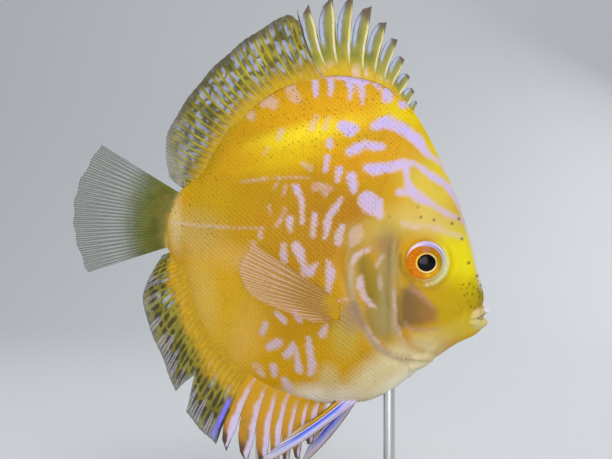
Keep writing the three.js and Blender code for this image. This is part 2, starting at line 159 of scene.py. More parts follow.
FAINT_MARKINGS = [
    [[27.6, -8.8, 0.5], [26.2, -10.4, 0.9], [24.9, -12.6, 0.5]],
    [[25.9, -15.4, 0.5], [26.4, -17.8, 0.9], [26.6, -20.3, 0.5]],
    [[30.7, -20.6, 0.3], [31.3, -26.0, 0.5], [31.8, -32.0, 0.6], [34.6, -39.4, 0.4]],
    [[2.8, 34.9, 1.2], [3.8, 37.0, 1.3], [4.4, 38.7, 1.0]],
    [[7.3, 34.8, 1.0], [8.9, 38.3, 0.8]],
    [[4.5, 14.4, 1.5], [7.3, 14.1, 1.8], [8.0, 12.0, 1.0], [10.3, 14.4, 0.7]],
    [[-0.1, 22.7, 0.8], [2.7, 20.6, 0.8]],
    [[-8.9, 15.9, 0.6], [-9.3, 14.2, 0.6]],
    [[-5.8, 14.5, 0.6], [-6.4, 11.8, 0.7]],
    [[-6.0, 6.6, 0.7], [-7.0, 3.9, 0.8], [-8.8, 1.2, 0.8]],
    [[-11.3, 7.7, 0.7], [-10.5, 5.3, 0.7]],
    [[-14.3, -1.2, 1.0], [-14.3, -2.6, 1.0]],
    [[18.9, -0.8, 2.2], [17.9, -2.9, 2.1], [16.9, -4.5, 1.3]],
    [[34.0, 2.2, 1.0], [37.0, 1.2, 1.5], [41.0, 1.2, 0.8], [45.7, 0.2, 1.3], [49.8, -1.2, 1.0],
     [53.9, -2.6, 0.8]],
    [[21.6, -32.2, 0.7], [22.9, -35.3, 0.9], [25.2, -38.0, 0.8], [26.9, -40.8, 0.6]],
    [[12.1, -24.2, 0.42], [14.8, -23.8, 0.8], [17.2, -23.4, 0.42]],
    [[-16.8, -47.5, 1.2], [-14.8, -50.7, 1.2]],
    [[-12.8, 44.9, 2.8], [-10.9, 43.7, 2.1]],
    [[-20.0, 41.9, 1.6], [-18.7, 39.3, 1.6]],
    [[-7.3, 34.0, 1.0], [-8.6, 31.5, 0.8]],
    [[-12.4, 28.1, 0.8], [-13.4, 26.0, 0.7]],
    [[-21.3, 16.4, 0.35], [-17.1, 17.0, 0.42], [-13.2, 17.5, 0.52], [-7.9, 17.6, 0.45],
     [-2.7, 17.7, 0.32], [2.4, 17.5, 0.24]],
    [[-46.9, 2.6, 0.45], [-34.5, 1.2, 0.42], [-23.5, 0.5, 0.39], [-12.9, 0.5, 0.32]],
    [[-16.8, -4.6, 0.9], [-15.4, -7.0, 0.8]],
    [[-2.5, -4.9, 0.7], [-1.8, -7.0, 0.7]],
    [[-5.1, 49.3, 1.9], [-2.8, 45.6, 2.0]],
    [[-30.9, -46.4, 1.5], [-30.2, -48.2, 1.5]],
    [[-24.1, -53.4, 1.3], [-26.2, -56.9, 1.5]],
    [[-12.7, -59.5, 1.2], [-8.5, -60.5, 1.4], [-3.5, -60.4, 1.2]],
]


def rgb(text):
    """The linear colour of a hexadecimal one."""
    parts = [int(text[i : i + 2], 16) / 255 for i in (1, 3, 5)]
    return tuple(c / 12.92 if c <= 0.04045 else ((c + 0.055) / 1.055) ** 2.4 for c in parts)


# Washes of colour on the sides: colour, middle forward and up, reach forward and up, turn in
# degrees, softness and strength. Each lies over the ones before it.
WASHES = [
    ("#C69404", 0, 0, 140, 140, 0, 0.5, 1),
    ("#B88C04", -20.1, 8.4, 15.4, 15.4, 0, 0.6, 0.7),
    ("#C09A04", -34.7, 10.3, 10.5, 10.5, 0, 0.6, 0.7),
    ("#C4940A", -27.8, 24.2, 7.7, 9.1, 0, 0.7, 0.7),
    ("#D2A51C", -28.6, -24.5, 14.7, 14.7, 0, 0.7, 0.8),
    ("#D4A80C", -24.5, -40.3, 11.2, 9.1, 0, 0.7, 0.7),
    ("#E2A602", 15.1, 41.1, 28, 8.4, 4, 0.6, 0.9),
    ("#E4BE04", -1.2, 27.2, 18.2, 5.6, 12, 0.8, 0.8),
    # painted highlight: a pale yellow band where the upper side catches the light
    ("#F6DA20", 2.1, 33.5, 16.8, 3.15, 13, 0.9, 0.9),
    ("#DA9A04", 16, 23.6, 10.5, 6.3, 0, 0.7, 0.7),
    ("#B27C02", 5.4, 0.5, 14.7, 16.1, 0, 0.6, 0.9),
    ("#AE7602", 18.2, 5.2, 5.6, 7, 0, 0.7, 0.8),
    ("#B98A06", -7, -0.9, 9.1, 11.9, 0, 0.7, 0.6),
    ("#D09C06", -11.8, -41.6, 15.4, 10.5, 0, 0.6, 0.7),
    ("#BC8A02", 1, -34.3, 11.9, 11.9, 0, 0.7, 0.8),
    ("#C59702", 6.4, -43.2, 10.5, 7.7, 0, 0.6, 0.7),
    ("#DCA314", 30.2, 27.1, 9.1, 5.6, 0, 0.8, 0.8),
    ("#E8CC0A", 33.5, 40.1, 7.7, 4.55, -20, 0.8, 0.9),
    ("#C89804", 14.6, -48, 4.9, 6.3, 0, 0.7, 0.8),
    ("#BEA646", 14.7, -36.1, 4.2, 7, 0, 0.7, 0.8),
    ("#C0A050", -39.4, -0.9, 10.5, 7, 0, 0.7, 0.85),
    ("#CDB578", -45.4, 2.6, 2.1, 9.8, 0, 0.7, 0.8),
    ("#A29A1C", -24.8, 44.2, 11.9, 5.6, 32, 0.8, 0.65),
    ("#A8941A", -35.9, 29.5, 5.6, 10.5, -30, 0.8, 0.5),
    ("#D9BE46", 43.7, 13.4, 9.1, 11.2, 28, 0.6, 0.9),
    ("#DECA1C", 46.5, 23.9, 3.15, 11.9, 29, 0.7, 0.8),
    ("#BCA04A", 25, -0.8, 10.5, 4.9, 10, 0.7, 0.85),
    ("#D6BC60", 43.7, 2.5, 13.3, 4.55, -12, 0.7, 0.85),
    ("#8C7206", 23.3, -18.3, 3.85, 11.2, 14, 0.6, 0.9),
    ("#93804C", 29.3, -16.9, 3.5, 14.7, 0, 0.6, 0.85),
    ("#987444", 28, -4.9, 4.55, 3.15, 0, 0.7, 0.7),
    ("#96844E", 26.3, -31.8, 5.6, 6.3, 20, 0.7, 0.85),
    ("#A89058", 16.6, -17, 2.1, 13.3, 0, 0.7, 0.7),
    # painted shade: a tan patch at the pectoral fin's foot, behind the gill cover's edge
    ("#A88860", 16.8, -29.6, 3.85, 4.9, 0, 0.7, 0.75),
    ("#DCCE38", 52.2, -5.6, 6.3, 5.6, 0, 0.7, 0.85),
    ("#E2CC02", 52.1, -13, 6.3, 9.8, 8, 0.7, 0.97),
    ("#EADC18", 55.9, -11.7, 3.15, 8.4, 12, 0.8, 0.8),
    ("#BE9C03", 49.7, -24.8, 9.1, 7.7, 0, 0.7, 0.92),
    ("#B08A1C", 39, -18.3, 7.7, 2.8, 0, 0.8, 0.7),
    ("#D6BE20", 55.3, -32.9, 5.6, 3.5, 30, 0.7, 0.8),
    ("#C4A83A", 45.8, -36.5, 11.9, 3.5, 18, 0.7, 0.85),
    ("#B08C40", 35.6, -41.5, 11.2, 3.5, 6, 0.7, 0.85),
    ("#DCD29A", 60.1, -31, 2.8, 2.8, 0, 0.6, 0.8),
    ("#DDCC9C", 30.2, -50, 18.9, 8.4, 34, 0.45, 0.95),
    ("#E6DAC4", 7, -58, 12.6, 4.2, 0, 0.7, 0.95),
    ("#F6F0D2", 32.1, -54.1, 11.2, 3.5, 33, 0.7, 0.9),
    ("#D8AA6C", -6.3, -61.2, 7.7, 3.15, -6, 0.7, 0.7),
    ("#CDB980", 8.9, -52, 3.5, 5.25, 0, 0.7, 0.7),
    ("#DCB658", -36.0, -24.0, 5.0, 15.0, 8, 0.9, 0.6),
    ("#DDB45C", -21.0, -38.0, 5.5, 11.0, -20, 0.9, 0.45),
    ("#DAB05E", -26.0, -9.0, 9.0, 4.0, -8, 0.9, 0.4),
]

# Finer touches on the head: colour, softness of the edge, strength and a line of
# [forward, up, half width].
TOUCHES = [
    ("#6E5834", 1.1, 0.36, [[29.3, -6.2, 0.6], [29.0, -15.3, 0.7], [29.0, -23.7, 0.6],
        [29.6, -33.8, 0.35]]),
    ("#A2955F", 1.1, 0.4, [[27.3, -7.6, 0.7], [26.7, -16.9, 1.0], [27.3, -23.7, 0.9],
        [27.6, -33.9, 0.8]]),
    ("#B0A47C", 1.0, 0.42, [[31.0, -4.5, 0.49], [31.3, -13.6, 0.49], [31.0, -18.6, 0.6],
        [30.7, -27.0, 1.0], [30.6, -33.2, 1.0], [32.6, -37.3, 0.7], [35.0, -40.1, 0.6]]),
    ("#64492E", 0.9, 0.6, [[32.3, -22.3, 0.28], [32.3, -29.7, 0.6], [32.7, -33.8, 0.8]]),
    ("#A8847A", 0.63, 0.65, [[34.7, -30.8, 0.35], [35.7, -33.1, 0.42], [38.0, -33.9, 0.6],
        [45.7, -33.7, 0.28]]),
    ("#B0801C", 1.4, 0.6, [[34.3, -35.9, 1.4], [37.0, -39.4, 1.4], [40.4, -40.9, 1.0]]),
    ("#A87C70", 0.63, 0.75, [[36.7, -19.3, 0.6], [40.7, -22.6, 0.6], [44.0, -26.4, 0.42]]),
    ("#BBA88C", 0.84, 0.65, [[16.9, -11.3, 0.7], [16.2, -18.7, 0.8], [17.6, -23.8, 0.6],
        [19.6, -29.2, 0.6], [21.2, -34.3, 0.6], [23.9, -38.7, 0.8], [27.6, -41.5, 0.8],
        [31.9, -43.2, 0.7], [37.0, -44.4, 0.6]]),
    ("#8A7048", 0.7, 0.5, [[18.2, -23.8, 0.49], [20.6, -29.8, 0.49], [22.2, -34.6, 0.49],
        [25.6, -39.0, 0.49], [30.3, -41.8, 0.49], [36.3, -42.9, 0.42]]),
    # painted shadow just behind the gill cover's edge
    ("#927666", 1.2, 0.6, [[16.9, -26.1, 1.4], [18.2, -29.9, 1.5], [20.2, -32.9, 0.9]]),
    # painted highlight: a pale line along the thin edge of the forehead
    ("#E2DEE4", 0.84, 0.85, [[49.9, 14.9, 0.6], [54.4, 6.0, 0.9], [57.8, -4.6, 1.0],
        [59.9, -13.9, 1.1], [60.8, -20.1, 0.8]]),
    ("#989206", 2.4, 0.5, [[57.2, -18.2, 1.0], [58.8, -22.2, 1.6], [56.8, -25.4, 1.0]]),
    ("#8F8A14", 1, 0.6, [[60.1, -19.3, 0.7], [60.4, -22.7, 1.0], [59.7, -25.4, 1.0]]),
    ("#DCC68C", 0.77, 0.85, [[57.9, -28.4, 0.6], [60.1, -27.8, 0.9], [61.6, -27.4, 0.8]]),
    ("#CFC06C", 0.9, 0.6, [[58.0, -32.6, 0.9], [60.8, -32.0, 1.0]]),
    ("#DEDAF6", 0.42, 0.95, [[62.6, -27.0, 0.9], [63.2, -28.3, 1.2]]),
    ("#CDD2A6", 0.5, 0.75, [[47.6, -7.0, 0.3], [49.0, -11.0, 0.55], [47.9, -15.0, 0.7],
        [44.9, -17.7, 0.55], [41.3, -18.7, 0.35]]),
    ("#7E660A", 1.2, 0.55, [[20.4, -11.0, 1.2], [21.2, -17.0, 1.6], [23.0, -23.5, 1.0]]),
    ("#8A7206", 0.8, 0.7, [[21.8, -27.6, 0.6], [23.4, -32.0, 0.9], [25.0, -35.6, 0.4]]),
    # painted shadow between the eye and its socket, behind and below the eye
    ("#6A5010", 0.84, 0.6, [[33.0, -8.9, 0.42], [33.3, -12.2, 0.7], [35.0, -15.2, 0.7],
        [37.4, -17.3, 0.6]]),
    ("#D8AE74", 1.4, 0.3, [[-17.5, -5.3, 1.0], [-21.8, -11.2, 1.8]]),
]
# The brown patch of bare skin on the cheek, and its colours at the rear and in front.
CHEEK = [
    [33.4, -19.9], [36.7, -19.3], [40.7, -22.6], [45.7, -27.4], [45.1, -30.9], [39.7, -32.8],
    [33, -32.8], [32.7, -25.3],
]
CHEEK_COLOURS = ("#6E5430", "#936736")


class Curve:
    """A smooth curve through a few points, read by its own share or by the share of its length."""

    def __init__(self, points, fine=4000):
        self.points = np.array(points, float)
        share = np.linspace(0, 1, fine + 1)
        path = self.at(share)
        steps = np.linalg.norm(np.diff(path, axis=0), axis=1)
        length = np.concatenate([[0.0], np.cumsum(steps)])
        self.shares = share
        self.lengths = length / length[-1]

    def at(self, share):
        p = self.points
        last = len(p) - 1
        place = np.clip(np.asarray(share, float), 0, 1) * last
        i = np.minimum(place.astype(int), last - 1)
        w = (place - i)[..., None]
        a, b, c = p[np.maximum(i - 1, 0)], p[i], p[i + 1]
        d = p[np.minimum(i + 2, last)]
        leave, arrive = (c - a) / 2, (d - b) / 2
        cubic = 2 * b - 2 * c + leave + arrive
        square = 3 * c - 3 * b - 2 * leave - arrive
        return ((cubic * w + square) * w + leave) * w + b

    def spaced(self, share):
        return self.at(np.interp(share, self.lengths, self.shares))


def smooth(value, low, high):
    share = np.clip((value - low) / (high - low), 0, 1)
    return share * share * (3 - 2 * share)


def bump(value, width):
    return np.exp(-((value / width) ** 2))


def away(x, z, line):
    """The distance of each point from a line through a few points, less its half width there."""
    best = np.full(np.shape(x), 1e9)
    for (ax, az, *start), (bx, bz, *end) in zip(line, line[1:]):
        dx, dz = bx - ax, bz - az
        share = np.clip(((x - ax) * dx + (z - az) * dz) / (dx * dx + dz * dz), 0, 1)
        gap = np.hypot(x - ax - dx * share, z - az - dz * share)
        if start:
            gap = gap - start[0] - (end[0] - start[0]) * share
        best = np.minimum(best, gap)
    return best


def inside(x, z, outline):
    """The distance into a convex outline, given clockwise, and negative outside it."""
    depth = np.full(np.shape(x), 1e9)
    for (ax, az), (bx, bz) in zip(outline, outline[1:] + outline[:1]):
        dx, dz = bx - ax, bz - az
        depth = np.minimum(depth, ((z - az) * -dx + (x - ax) * dz) / math.hypot(dx, dz))
    return depth


def in_front(x, z, line):
    """The distance forwards of a line that runs from its top to its foot, negative behind it."""
    pts = np.array(line)
    order = np.argsort(pts[:, 1])
    edge = np.interp(z, pts[order, 1], pts[order, 0])
    return np.where(x > edge, 1, -1) * away(x, z, line)


back_curve = Curve(BACK)
belly_curve = Curve(BELLY)
width_table = Curve(WIDTHS).at(np.linspace(0, 1, 4001))


def section(down, along):
    """The share of the half width at a point that is down of 0 to 1 from back to belly."""
    lens = np.sin(np.pi * down**1.12)
    oval = 2 * np.sqrt(np.maximum(down * (1 - down), 0))
    breast = smooth(down, 0.5, 0.95) * (1 - smooth(along, 0.45, 0.6))
    head_round = 0.25 * (1 - smooth(along, 0.1, 0.35))
    roundness = np.clip(0.42 + head_round + 0.35 * breast, 0, 1)
    return lens * (1 - roundness) + oval * roundness


def body_point(along, angle):
    """The body's surface: along from mouth to tail, angle round from the back by the right side."""
    top, bottom = back_curve.spaced(along), belly_curve.spaced(along)
    down = (1 - np.cos(angle)) / 2
    width = np.interp(along, width_table[:, 0], width_table[:, 1])
    half = MAX_HALF_WIDTH * width * section(down, along)
    sweep = MOUTH_SWEEP * np.exp(-along / MOUTH_REACH) * np.sin(angle) ** 2
    x = top[..., 0] * (1 - down) + bottom[..., 0] * down - sweep
    z = top[..., 1] * (1 - down) + bottom[..., 1] * down
    return np.stack([x, -np.sign(np.sin(angle)) * half, z], -1)


def ridges(distance, *parts):
    """Ridges and grooves beside a line: the height, the distance from the line and the width."""
    return sum(height * bump(distance - at, width) for height, at, width in parts)


def relief(x, z, beside):
    """How far the skin stands out: gill plate, ridges, cheek, eye rim, lips, nostril and pores.
    Beside fades what lies on the sides out at the middle line."""
    margin = in_front(x, z, GILL_MARGIN)
    plate = smooth(margin, -0.4, 0.5) * np.exp(-np.maximum(margin, 0) / 7)
    edge = ridges(margin, (-0.4, -0.9, 0.7), (0.16, 1.5, 0.5), (-0.28, 3.2, 0.9))
    height = (0.85 * plate + edge) * (1 - smooth(z, -1.0, 3.0))
    bone = in_front(x, z, PREOPERCLE)
    lines = ridges(bone, (0.22, 0, 0.9), (-0.2, -1.7, 0.7), (0.17, 2.9, 0.8))
    lines += ridges(bone, (-0.16, 1.5, 0.6), (-0.16, 4.3, 0.9))
    height += lines * (1 - smooth(z, -4.0, 0.0))
    height -= 0.24 * smooth(inside(x, z, CHEEK), -1.2, 2.4)
    eye = np.hypot(x - EYE_PLACE[0], z - EYE_PLACE[1]) - EYE_RADIUS
    height += ridges(eye, (0.5, 0.8, 0.7), (-0.35, 2.8, 1.0)) - 1.3 * (1 - smooth(eye, -1.4, 0.1))
    height -= 0.3 * bump(away(x, z, CHEEK_FOLD), 0.8)
    for px, pz in PORES:
        height -= 0.18 * bump(np.hypot(x - px, z - pz), 0.45)
    nostril = np.hypot((x - NOSTRIL[0]) / 1.3, z - NOSTRIL[1])
    height += ridges(nostril, (0.22, 0.95, 0.35), (-0.7, 0, 0.55))
    height *= beside
    for rise, width, line in MOUTH:
        height += rise * bump(away(x, z, line), width)
    return height


def lay_over(colours, other, share):
    """Mixes a share of another colour into each of these."""
    other = np.array(rgb(other)) if isinstance(other, str) else other
    colours += share[:, None] * (other - colours)


def flank_colour(x, z):
    colour = np.zeros((len(x), 3))
    for name, cx, cz, rx, rz, turn, soft, strength in WASHES:
        c, s = math.cos(math.radians(turn)), math.sin(math.radians(turn))
        u, v = (x - cx) * c + (z - cz) * s, (z - cz) * c - (x - cx) * s
        share = 1 - smooth(np.hypot(u / rx, v / rz), 1 - soft, 1 + soft)
        lay_over(colour, name, strength * share)
    rear, front = (np.array(rgb(name)) for name in CHEEK_COLOURS)
    ahead = smooth(x, 34, 44)[:, None]
    cheek = smooth(inside(x, z, CHEEK), -1.9, 1.9)
    lay_over(colour, rear * (1 - ahead) + front * ahead, 0.9 * cheek)
    for name, soft, strength, line in TOUCHES:
        lay_over(colour, name, strength * (1 - smooth(away(x, z, line), -soft, soft)))
    return colour


def side_looks(x, z):
    """What the shader reads on the skin and the scales alike."""
    upper = smooth(z, 8, 30) * (1 - smooth(x, 26, 40))
    rear = smooth(-x, 8, 34) * smooth(z, -24, 4)
    snout = bump(np.hypot((x - 58.4) * 0.8, z + 21.6), 4.6)
    return {
        "ground": flank_colour(x, z),
        "lilac": np.min([away(x, z, line) for line in MARKINGS], axis=0),
        "faint": np.min([away(x, z, line) for line in FAINT_MARKINGS], axis=0),
        "pore": np.min([np.hypot(x - a, z - b) for a, b in [*PORES, NOSTRIL]], axis=0),
        "speckle": np.clip(0.9 * np.maximum(upper, rear) + 3.4 * snout + 0.1, 0, 2.8),
    }


def place(points):
    """Metres in the frame from millimetres of the fish."""
    moved = np.array(points, float)
    moved[..., 2] += BODY_HEIGHT
    return moved * MM


def set_points(mesh, points):
    mesh.vertices.foreach_set("co", place(points).astype(np.float32).ravel())
    mesh.update()


def set_looks(mesh, looks):
    """Stores what the shaders read at each vertex: a colour where it has three values."""
    for name, values in looks.items():
        kind, field = "FLOAT", "value"
        if np.ndim(values) == 2:
            kind, field = "FLOAT_COLOR", "color"
            values = np.pad(values, ((0, 0), (0, 1)), constant_values=1)
        data = mesh.attributes.new(name, kind, "POINT").data
        data.foreach_set(field, np.asarray(values, np.float32).ravel())


def set_unwrap(mesh, u, v):
    """Lays the faces out on a map by each corner's u and v, which run from 0 to 1."""
    layer = mesh.uv_layers.new(name="OFBake")
    layer.data.foreach_set("uv", np.stack([u, v], -1).astype(np.float32).ravel())


def corners(mesh):
    found = np.empty(len(mesh.loops), np.int32)
    mesh.loops.foreach_get("vertex_index", found)
    return found


def face_corners(mesh):
    """How many corners each face has, and the number of its first one."""
    sizes = np.empty(len(mesh.polygons), np.int32)
    mesh.polygons.foreach_get("loop_total", sizes)
    return sizes, np.concatenate([[0], np.cumsum(sizes)[:-1]])


def points_of(mesh):
    found = np.empty(len(mesh.vertices) * 3, np.float32)
    mesh.vertices.foreach_get("co", found)
    return found.reshape(-1, 3).astype(float)


def mesh_from(bm, name):
    mesh = bpy.data.meshes.new(name)
    bm.to_mesh(mesh)
    bm.free()
    return mesh


def extrude_up(bm, height):
    """Makes a solid of this height from a flat face or grid."""
    grown = bmesh.ops.extrude_face_region(bm, geom=bm.faces[:])["geom"]
    verts = [v for v in grown if isinstance(v, bmesh.types.BMVert)]
    bmesh.ops.translate(bm, verts=verts, vec=(0, 0, height))
    bmesh.ops.recalc_face_normals(bm, faces=bm.faces)


def add_piece(name, mesh, material, slot, *nodes):
    piece = bpy.data.objects.new(name, mesh)
    bpy.context.scene.collection.objects.link(piece)
    mesh.materials.append(material)
    mesh.shade_smooth()
    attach(piece, "root")
    if nodes:
        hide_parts(*nodes)
    return piece


# Materials
class Wire:
    """A socket of a material, whose sums and products add their own nodes."""

    def __init__(self, tree, socket=None):
        self.tree = tree
        self.socket = socket

    def node(self, kind, inputs=(), output=0, **settings):
        made = self.tree.nodes.new("ShaderNode" + kind)
        for name, value in settings.items():
            setattr(made, name, value)
        pairs = inputs.items() if isinstance(inputs, dict) else enumerate(inputs)
        for key, value in pairs:
            if isinstance(value, Wire):
                self.tree.links.new(value.socket, made.inputs[key])
            else:
                made.inputs[key].default_value = value
        return Wire(self.tree, made.outputs[output])

    def maths(self, operation, *values):
        return self.node("Math", values, operation=operation)

    def __add__(self, other):
        return self.maths("ADD", self, other)

    __radd__ = __add__

    def __mul__(self, other):
        return self.maths("MULTIPLY", self, other)

    __rmul__ = __mul__

    def __sub__(self, other):
        return self.maths("SUBTRACT", self, other)

    def __rsub__(self, other):
        return self.maths("SUBTRACT", other, self)

    def size(self):
        return self.maths("ABSOLUTE", self)

    def whole(self):
        return self.maths("FLOOR", self)

    def rest(self):
        return self.maths("FRACT", self)

    def fade(self, none, full):
        """0 at none and 1 at full, eased; none may be the greater of the two."""
        return self.node("MapRange", (self, none, full, 0.0, 1.0), interpolation_type="SMOOTHSTEP")

    def clamped(self):
        return self.node("Clamp", (self, 0.0, 1.0))

    def chance(self):
        """A random value of 0 to 1 for each whole number."""
        return self.node("TexWhiteNoise", {1: self}, noise_dimensions="1D")

    def mixed(self, other, share):
        """This colour with a share of another."""
        inputs = {0: share, 6: self, 7: socket_colour(other)}
        return self.node("Mix", inputs, output=2, data_type="RGBA", clamp_factor=True)

    def layered(self, *layers):
        """This colour under layers of (colour, share), each over the ones before it."""
        colour = self
        for other, share in layers:
            colour = colour.mixed(other, share)
        return colour

    def brighter(self, factor):
        return self.node("VectorMath", {0: self, 3: factor}, operation="SCALE")

    def ramp(self, *stops):
        """The colour at this value between stops of (place, colour)."""
        made = self.node("ValToRGB", (self,))
        elements = made.socket.node.color_ramp.elements
        for i, (position, colour) in enumerate(stops):
            stop = elements[i] if i < 2 else elements.new(position)
            stop.position = position
            stop.color = socket_colour(colour)
        return made

    def attribute(self, name, output=2):
        return self.node("Attribute", output=output, attribute_name=name)

    def noise(self, scale, detail=2.0, distortion=0.0):
        """Noise at this place."""
        inputs = {"Vector": self, "Scale": scale, "Detail": detail, "Distortion": distortion}
        return self.node("TexNoise", inputs)

    def bumped(self, distance, strength):
        """The normal of a surface with this height."""
        return self.node("Bump", {"Strength": strength, "Distance": distance, "Height": self})


def socket_colour(colour):
    """What a socket takes for a colour, given by name, by its three parts or as a wire."""
    if isinstance(colour, Wire):
        return colour
    return (*(rgb(colour) if isinstance(colour, str) else colour), 1)


def new_material(name):
    material = bpy.data.materials.new(name)
    material.use_nodes = True
    tree = material.node_tree
    tree.nodes.clear()
    wire = Wire(tree)
    where = wire.node("TexCoord", output=3)
    return material, wire, where


def finish_material(wire, **sockets):
    """Ends a material with a shader whose sockets have these values, _ standing for a blank."""
    shader = wire.node("BsdfPrincipled", {k.replace("_", " "): v for k, v in sockets.items()})
    end = wire.tree.nodes.new("ShaderNodeOutputMaterial")
    wire.tree.links.new(shader.socket, end.inputs["Surface"])


def skin_material(looks, scaled):
    material, wire, where = new_material("scales" if scaled else "skin")
    broad, fine = where.noise(90.0, 3.0), where.noise(900.0, 3.0)
    # dark speckles, larger and closer where speckle is high
    speckle = wire.attribute("speckle")
    dots = wire.node("TexVoronoi", {"Vector": where, "Scale": 720.0, "Randomness": 1.0})
    patchy = (where.noise(240.0) + speckle * 0.16).fade(0.58, 0.7)
    reach = 0.04 + wire.maths("MINIMUM", speckle, 1.4) * 0.13
    dotted = (dots - reach).fade(0.14, -0.06) * patchy * speckle
    # lilac markings with a ragged edge, pinker low on the side
    warp = (where.noise(260.0) - 0.5) * 1.5 + (where.noise(1000.0, 1.0) - 0.5) * 0.9
    edge = wire.attribute("lilac") + warp
    lilac, heart = edge.fade(0.7, -0.4), edge.fade(0.0, -1.3)
    faint = (wire.attribute("faint") + warp * 1.3).fade(0.7, -0.8)
    tone = where.noise(300.0).fade(0.35, 0.65)
    low = wire.node("SeparateXYZ", (where,), 2).fade(0.128, 0.1)
    pale = (tone * 0.4 + heart * 0.6).ramp((0.1, looks.lilac_pink), (0.8, looks.lilac))
    colour = wire.attribute("ground", 0).brighter(0.88 + broad * 0.24).layered(
        ("#B87204", broad.fade(0.54, 0.72) * 0.2),
        (pale.mixed("#CDB09C", low * 0.55), lilac * (0.72 + heart * 0.22)),
        (looks.lilac_pink, faint * (0.34 + tone * 0.2)),
        ("#54440A", dotted.clamped() * 0.62),
        ("#66501C", wire.attribute("pore").fade(0.85, 0.25) * 0.75),
    )
    height = fine
    if scaled:
        tip = wire.attribute("tip")
        # painted shade: each scale darker at its root, where it tucks under the scale before it,
        # and lighter towards its free edge
        colour = colour.brighter(0.93 + tip.fade(0.0, 0.8) * 0.1)
        height = fine * 0.5 + tip * 0.6
    finish_material(
        wire,
        Base_Color=colour,
        Roughness=0.42 + fine * 0.16,
        Coat_Weight=0.07,
        Coat_Roughness=0.22,
        Specular_IOR_Level=0.14,
        Normal=height.bumped(0.00006, 0.4),
    )
    return material


# Fins: each is a thin solid web over its rays, from the foot curve to the tip curve. Bend bows
# the rays, teeth is the depth of the notches between spines, corner rounds the first ray's end
# off, split is a gap's place, reach and depth, wave and swell shape the thickness, root is the
# thickness at the foot, and off is how far a paired fin stands off the middle, at foot and tip.
FINS = {
    "dorsal_fin_spines": dict(
        foot=[[37.2, 38.0], [31.0, 46.8], [24.4, 50.7], [14.4, 53.0], [6.6, 53.0]],
        tip=[[39.0, 43.3], [35.9, 54.1], [29.5, 70.4], [15.4, 82.1], [-3.2, 77.4]],
        bend=0.07, rays=10, teeth=0.46, grid=(300, 64),
    ),
    "dorsal_fin_soft": dict(
        foot=[[6.6, 52.0], [-9.0, 48.8], [-22.6, 38.0], [-31.6, 24.0], [-40.0, 12.6]],
        tip=[[-3.6, 77.2], [-20.8, 67.2], [-37.2, 52.6], [-49.4, 34.0], [-48.8, 18.6]],
        bend=0.05, rays=31, corner=0.14, grid=(310, 70), wave=0.5,
    ),
    "anal_fin_spines": dict(
        foot=[[8.6, -58.0], [0.0, -57.6], [-10.0, -54.4], [-19.4, -50.0]],
        tip=[[6.6, -68.6], [-4.0, -82.4], [-14.6, -85.8], [-31.9, -76.0]],
        bend=-0.06, rays=8, teeth=0.36, grid=(200, 60),
    ),
    "anal_fin_soft": dict(
        foot=[[-19.0, -49.6], [-32.0, -36.0], [-39.8, -19.0], [-45.8, -7.6]],
        tip=[[-32.0, -75.8], [-43.6, -63.6], [-50.4, -47.6], [-58.2, -25.0], [-51.6, -9.2]],
        bend=-0.03, rays=30, split=(0.29, 0.06, 0.4), grid=(300, 64), wave=-0.5,
    ),
    "tail_fin": dict(
        foot=[[-43.8, 12.2], [-47.0, 7.0], [-48.0, 0.6], [-48.6, -6.0]],
        tip=[[-73.6, 30.4], [-82.0, 15.0], [-83.4, -0.6], [-78.4, -15.4]],
        bend=0.0, rays=30, root=2.2, grid=(300, 60), wave=0.4,
    ),
    "pelvic_fin_right": dict(
        foot=[[18.4, -58.8], [15.4, -57.2], [12.4, -57.2]],
        tip=[[-20.4, -84.6], [-9.0, -74.6], [-1.0, -68.0]],
        bend=0.04, rays=5, root=1.6, swell=0.0, side=-1, off=(1.9, 1.6), grid=(64, 150),
    ),
    "pelvic_fin_left": dict(
        foot=[[18.4, -58.8], [15.4, -57.2], [12.4, -57.2]],
        tip=[[-3.6, -85.4], [0.6, -76.0], [3.4, -69.8]],
        bend=0.04, rays=5, root=1.6, swell=0.0, side=1, off=(1.9, 4.2), grid=(64, 120),
    ),
    "pectoral_fin_right": dict(
        foot=[[13.4, -24.4], [13.1, -27.6], [12.4, -30.6]],
        tip=[[-16.2, -4.6], [-20.4, -14.0], [-15.0, -22.8], [4.6, -31.0]],
        bend=0.0, rays=13, root=1.1, swell=0.0, side=-1, off=(11.2, 7.6), grid=(208, 90),
    ),
}
FINS["pectoral_fin_left"] = {**FINS["pectoral_fin_right"], "side": 1}
FIN_ROOT = 1.7
FIN_EDGE = 0.7
WEB_SHARE = 0.34


def pillow(name, across, up):
    """Two grids back to back, joined along their rims: a closed web before it is laid out."""
    bm = bmesh.new()
    for side in (1, -1):
        made = bmesh.ops.create_grid(bm, x_segments=across, y_segments=up, size=0.5)["verts"]
        bmesh.ops.translate(bm, verts=made, vec=(0.5, 0.5, side))
    rim = [v for v in bm.verts if v.is_boundary]
    bmesh.ops.scale(bm, vec=(1, 1, 0), verts=rim)
    bmesh.ops.remove_doubles(bm, verts=rim, dist=1e-5)
    bmesh.ops.recalc_face_normals(bm, faces=bm.faces)
    return mesh_from(bm, name)


def face_out(mesh):
    """Turns the faces round where the volume they close is negative."""
    p = points_of(mesh)
    mesh.calc_loop_triangles()
    corner = np.empty(len(mesh.loop_triangles) * 3, np.int32)
    mesh.loop_triangles.foreach_get("vertices", corner)
    a, b, c = (p[corner.reshape(-1, 3)[:, i]] for i in range(3))
    if np.einsum("ij,ij->i", a, np.cross(b, c)).sum() < 0:
        mesh.flip_normals()


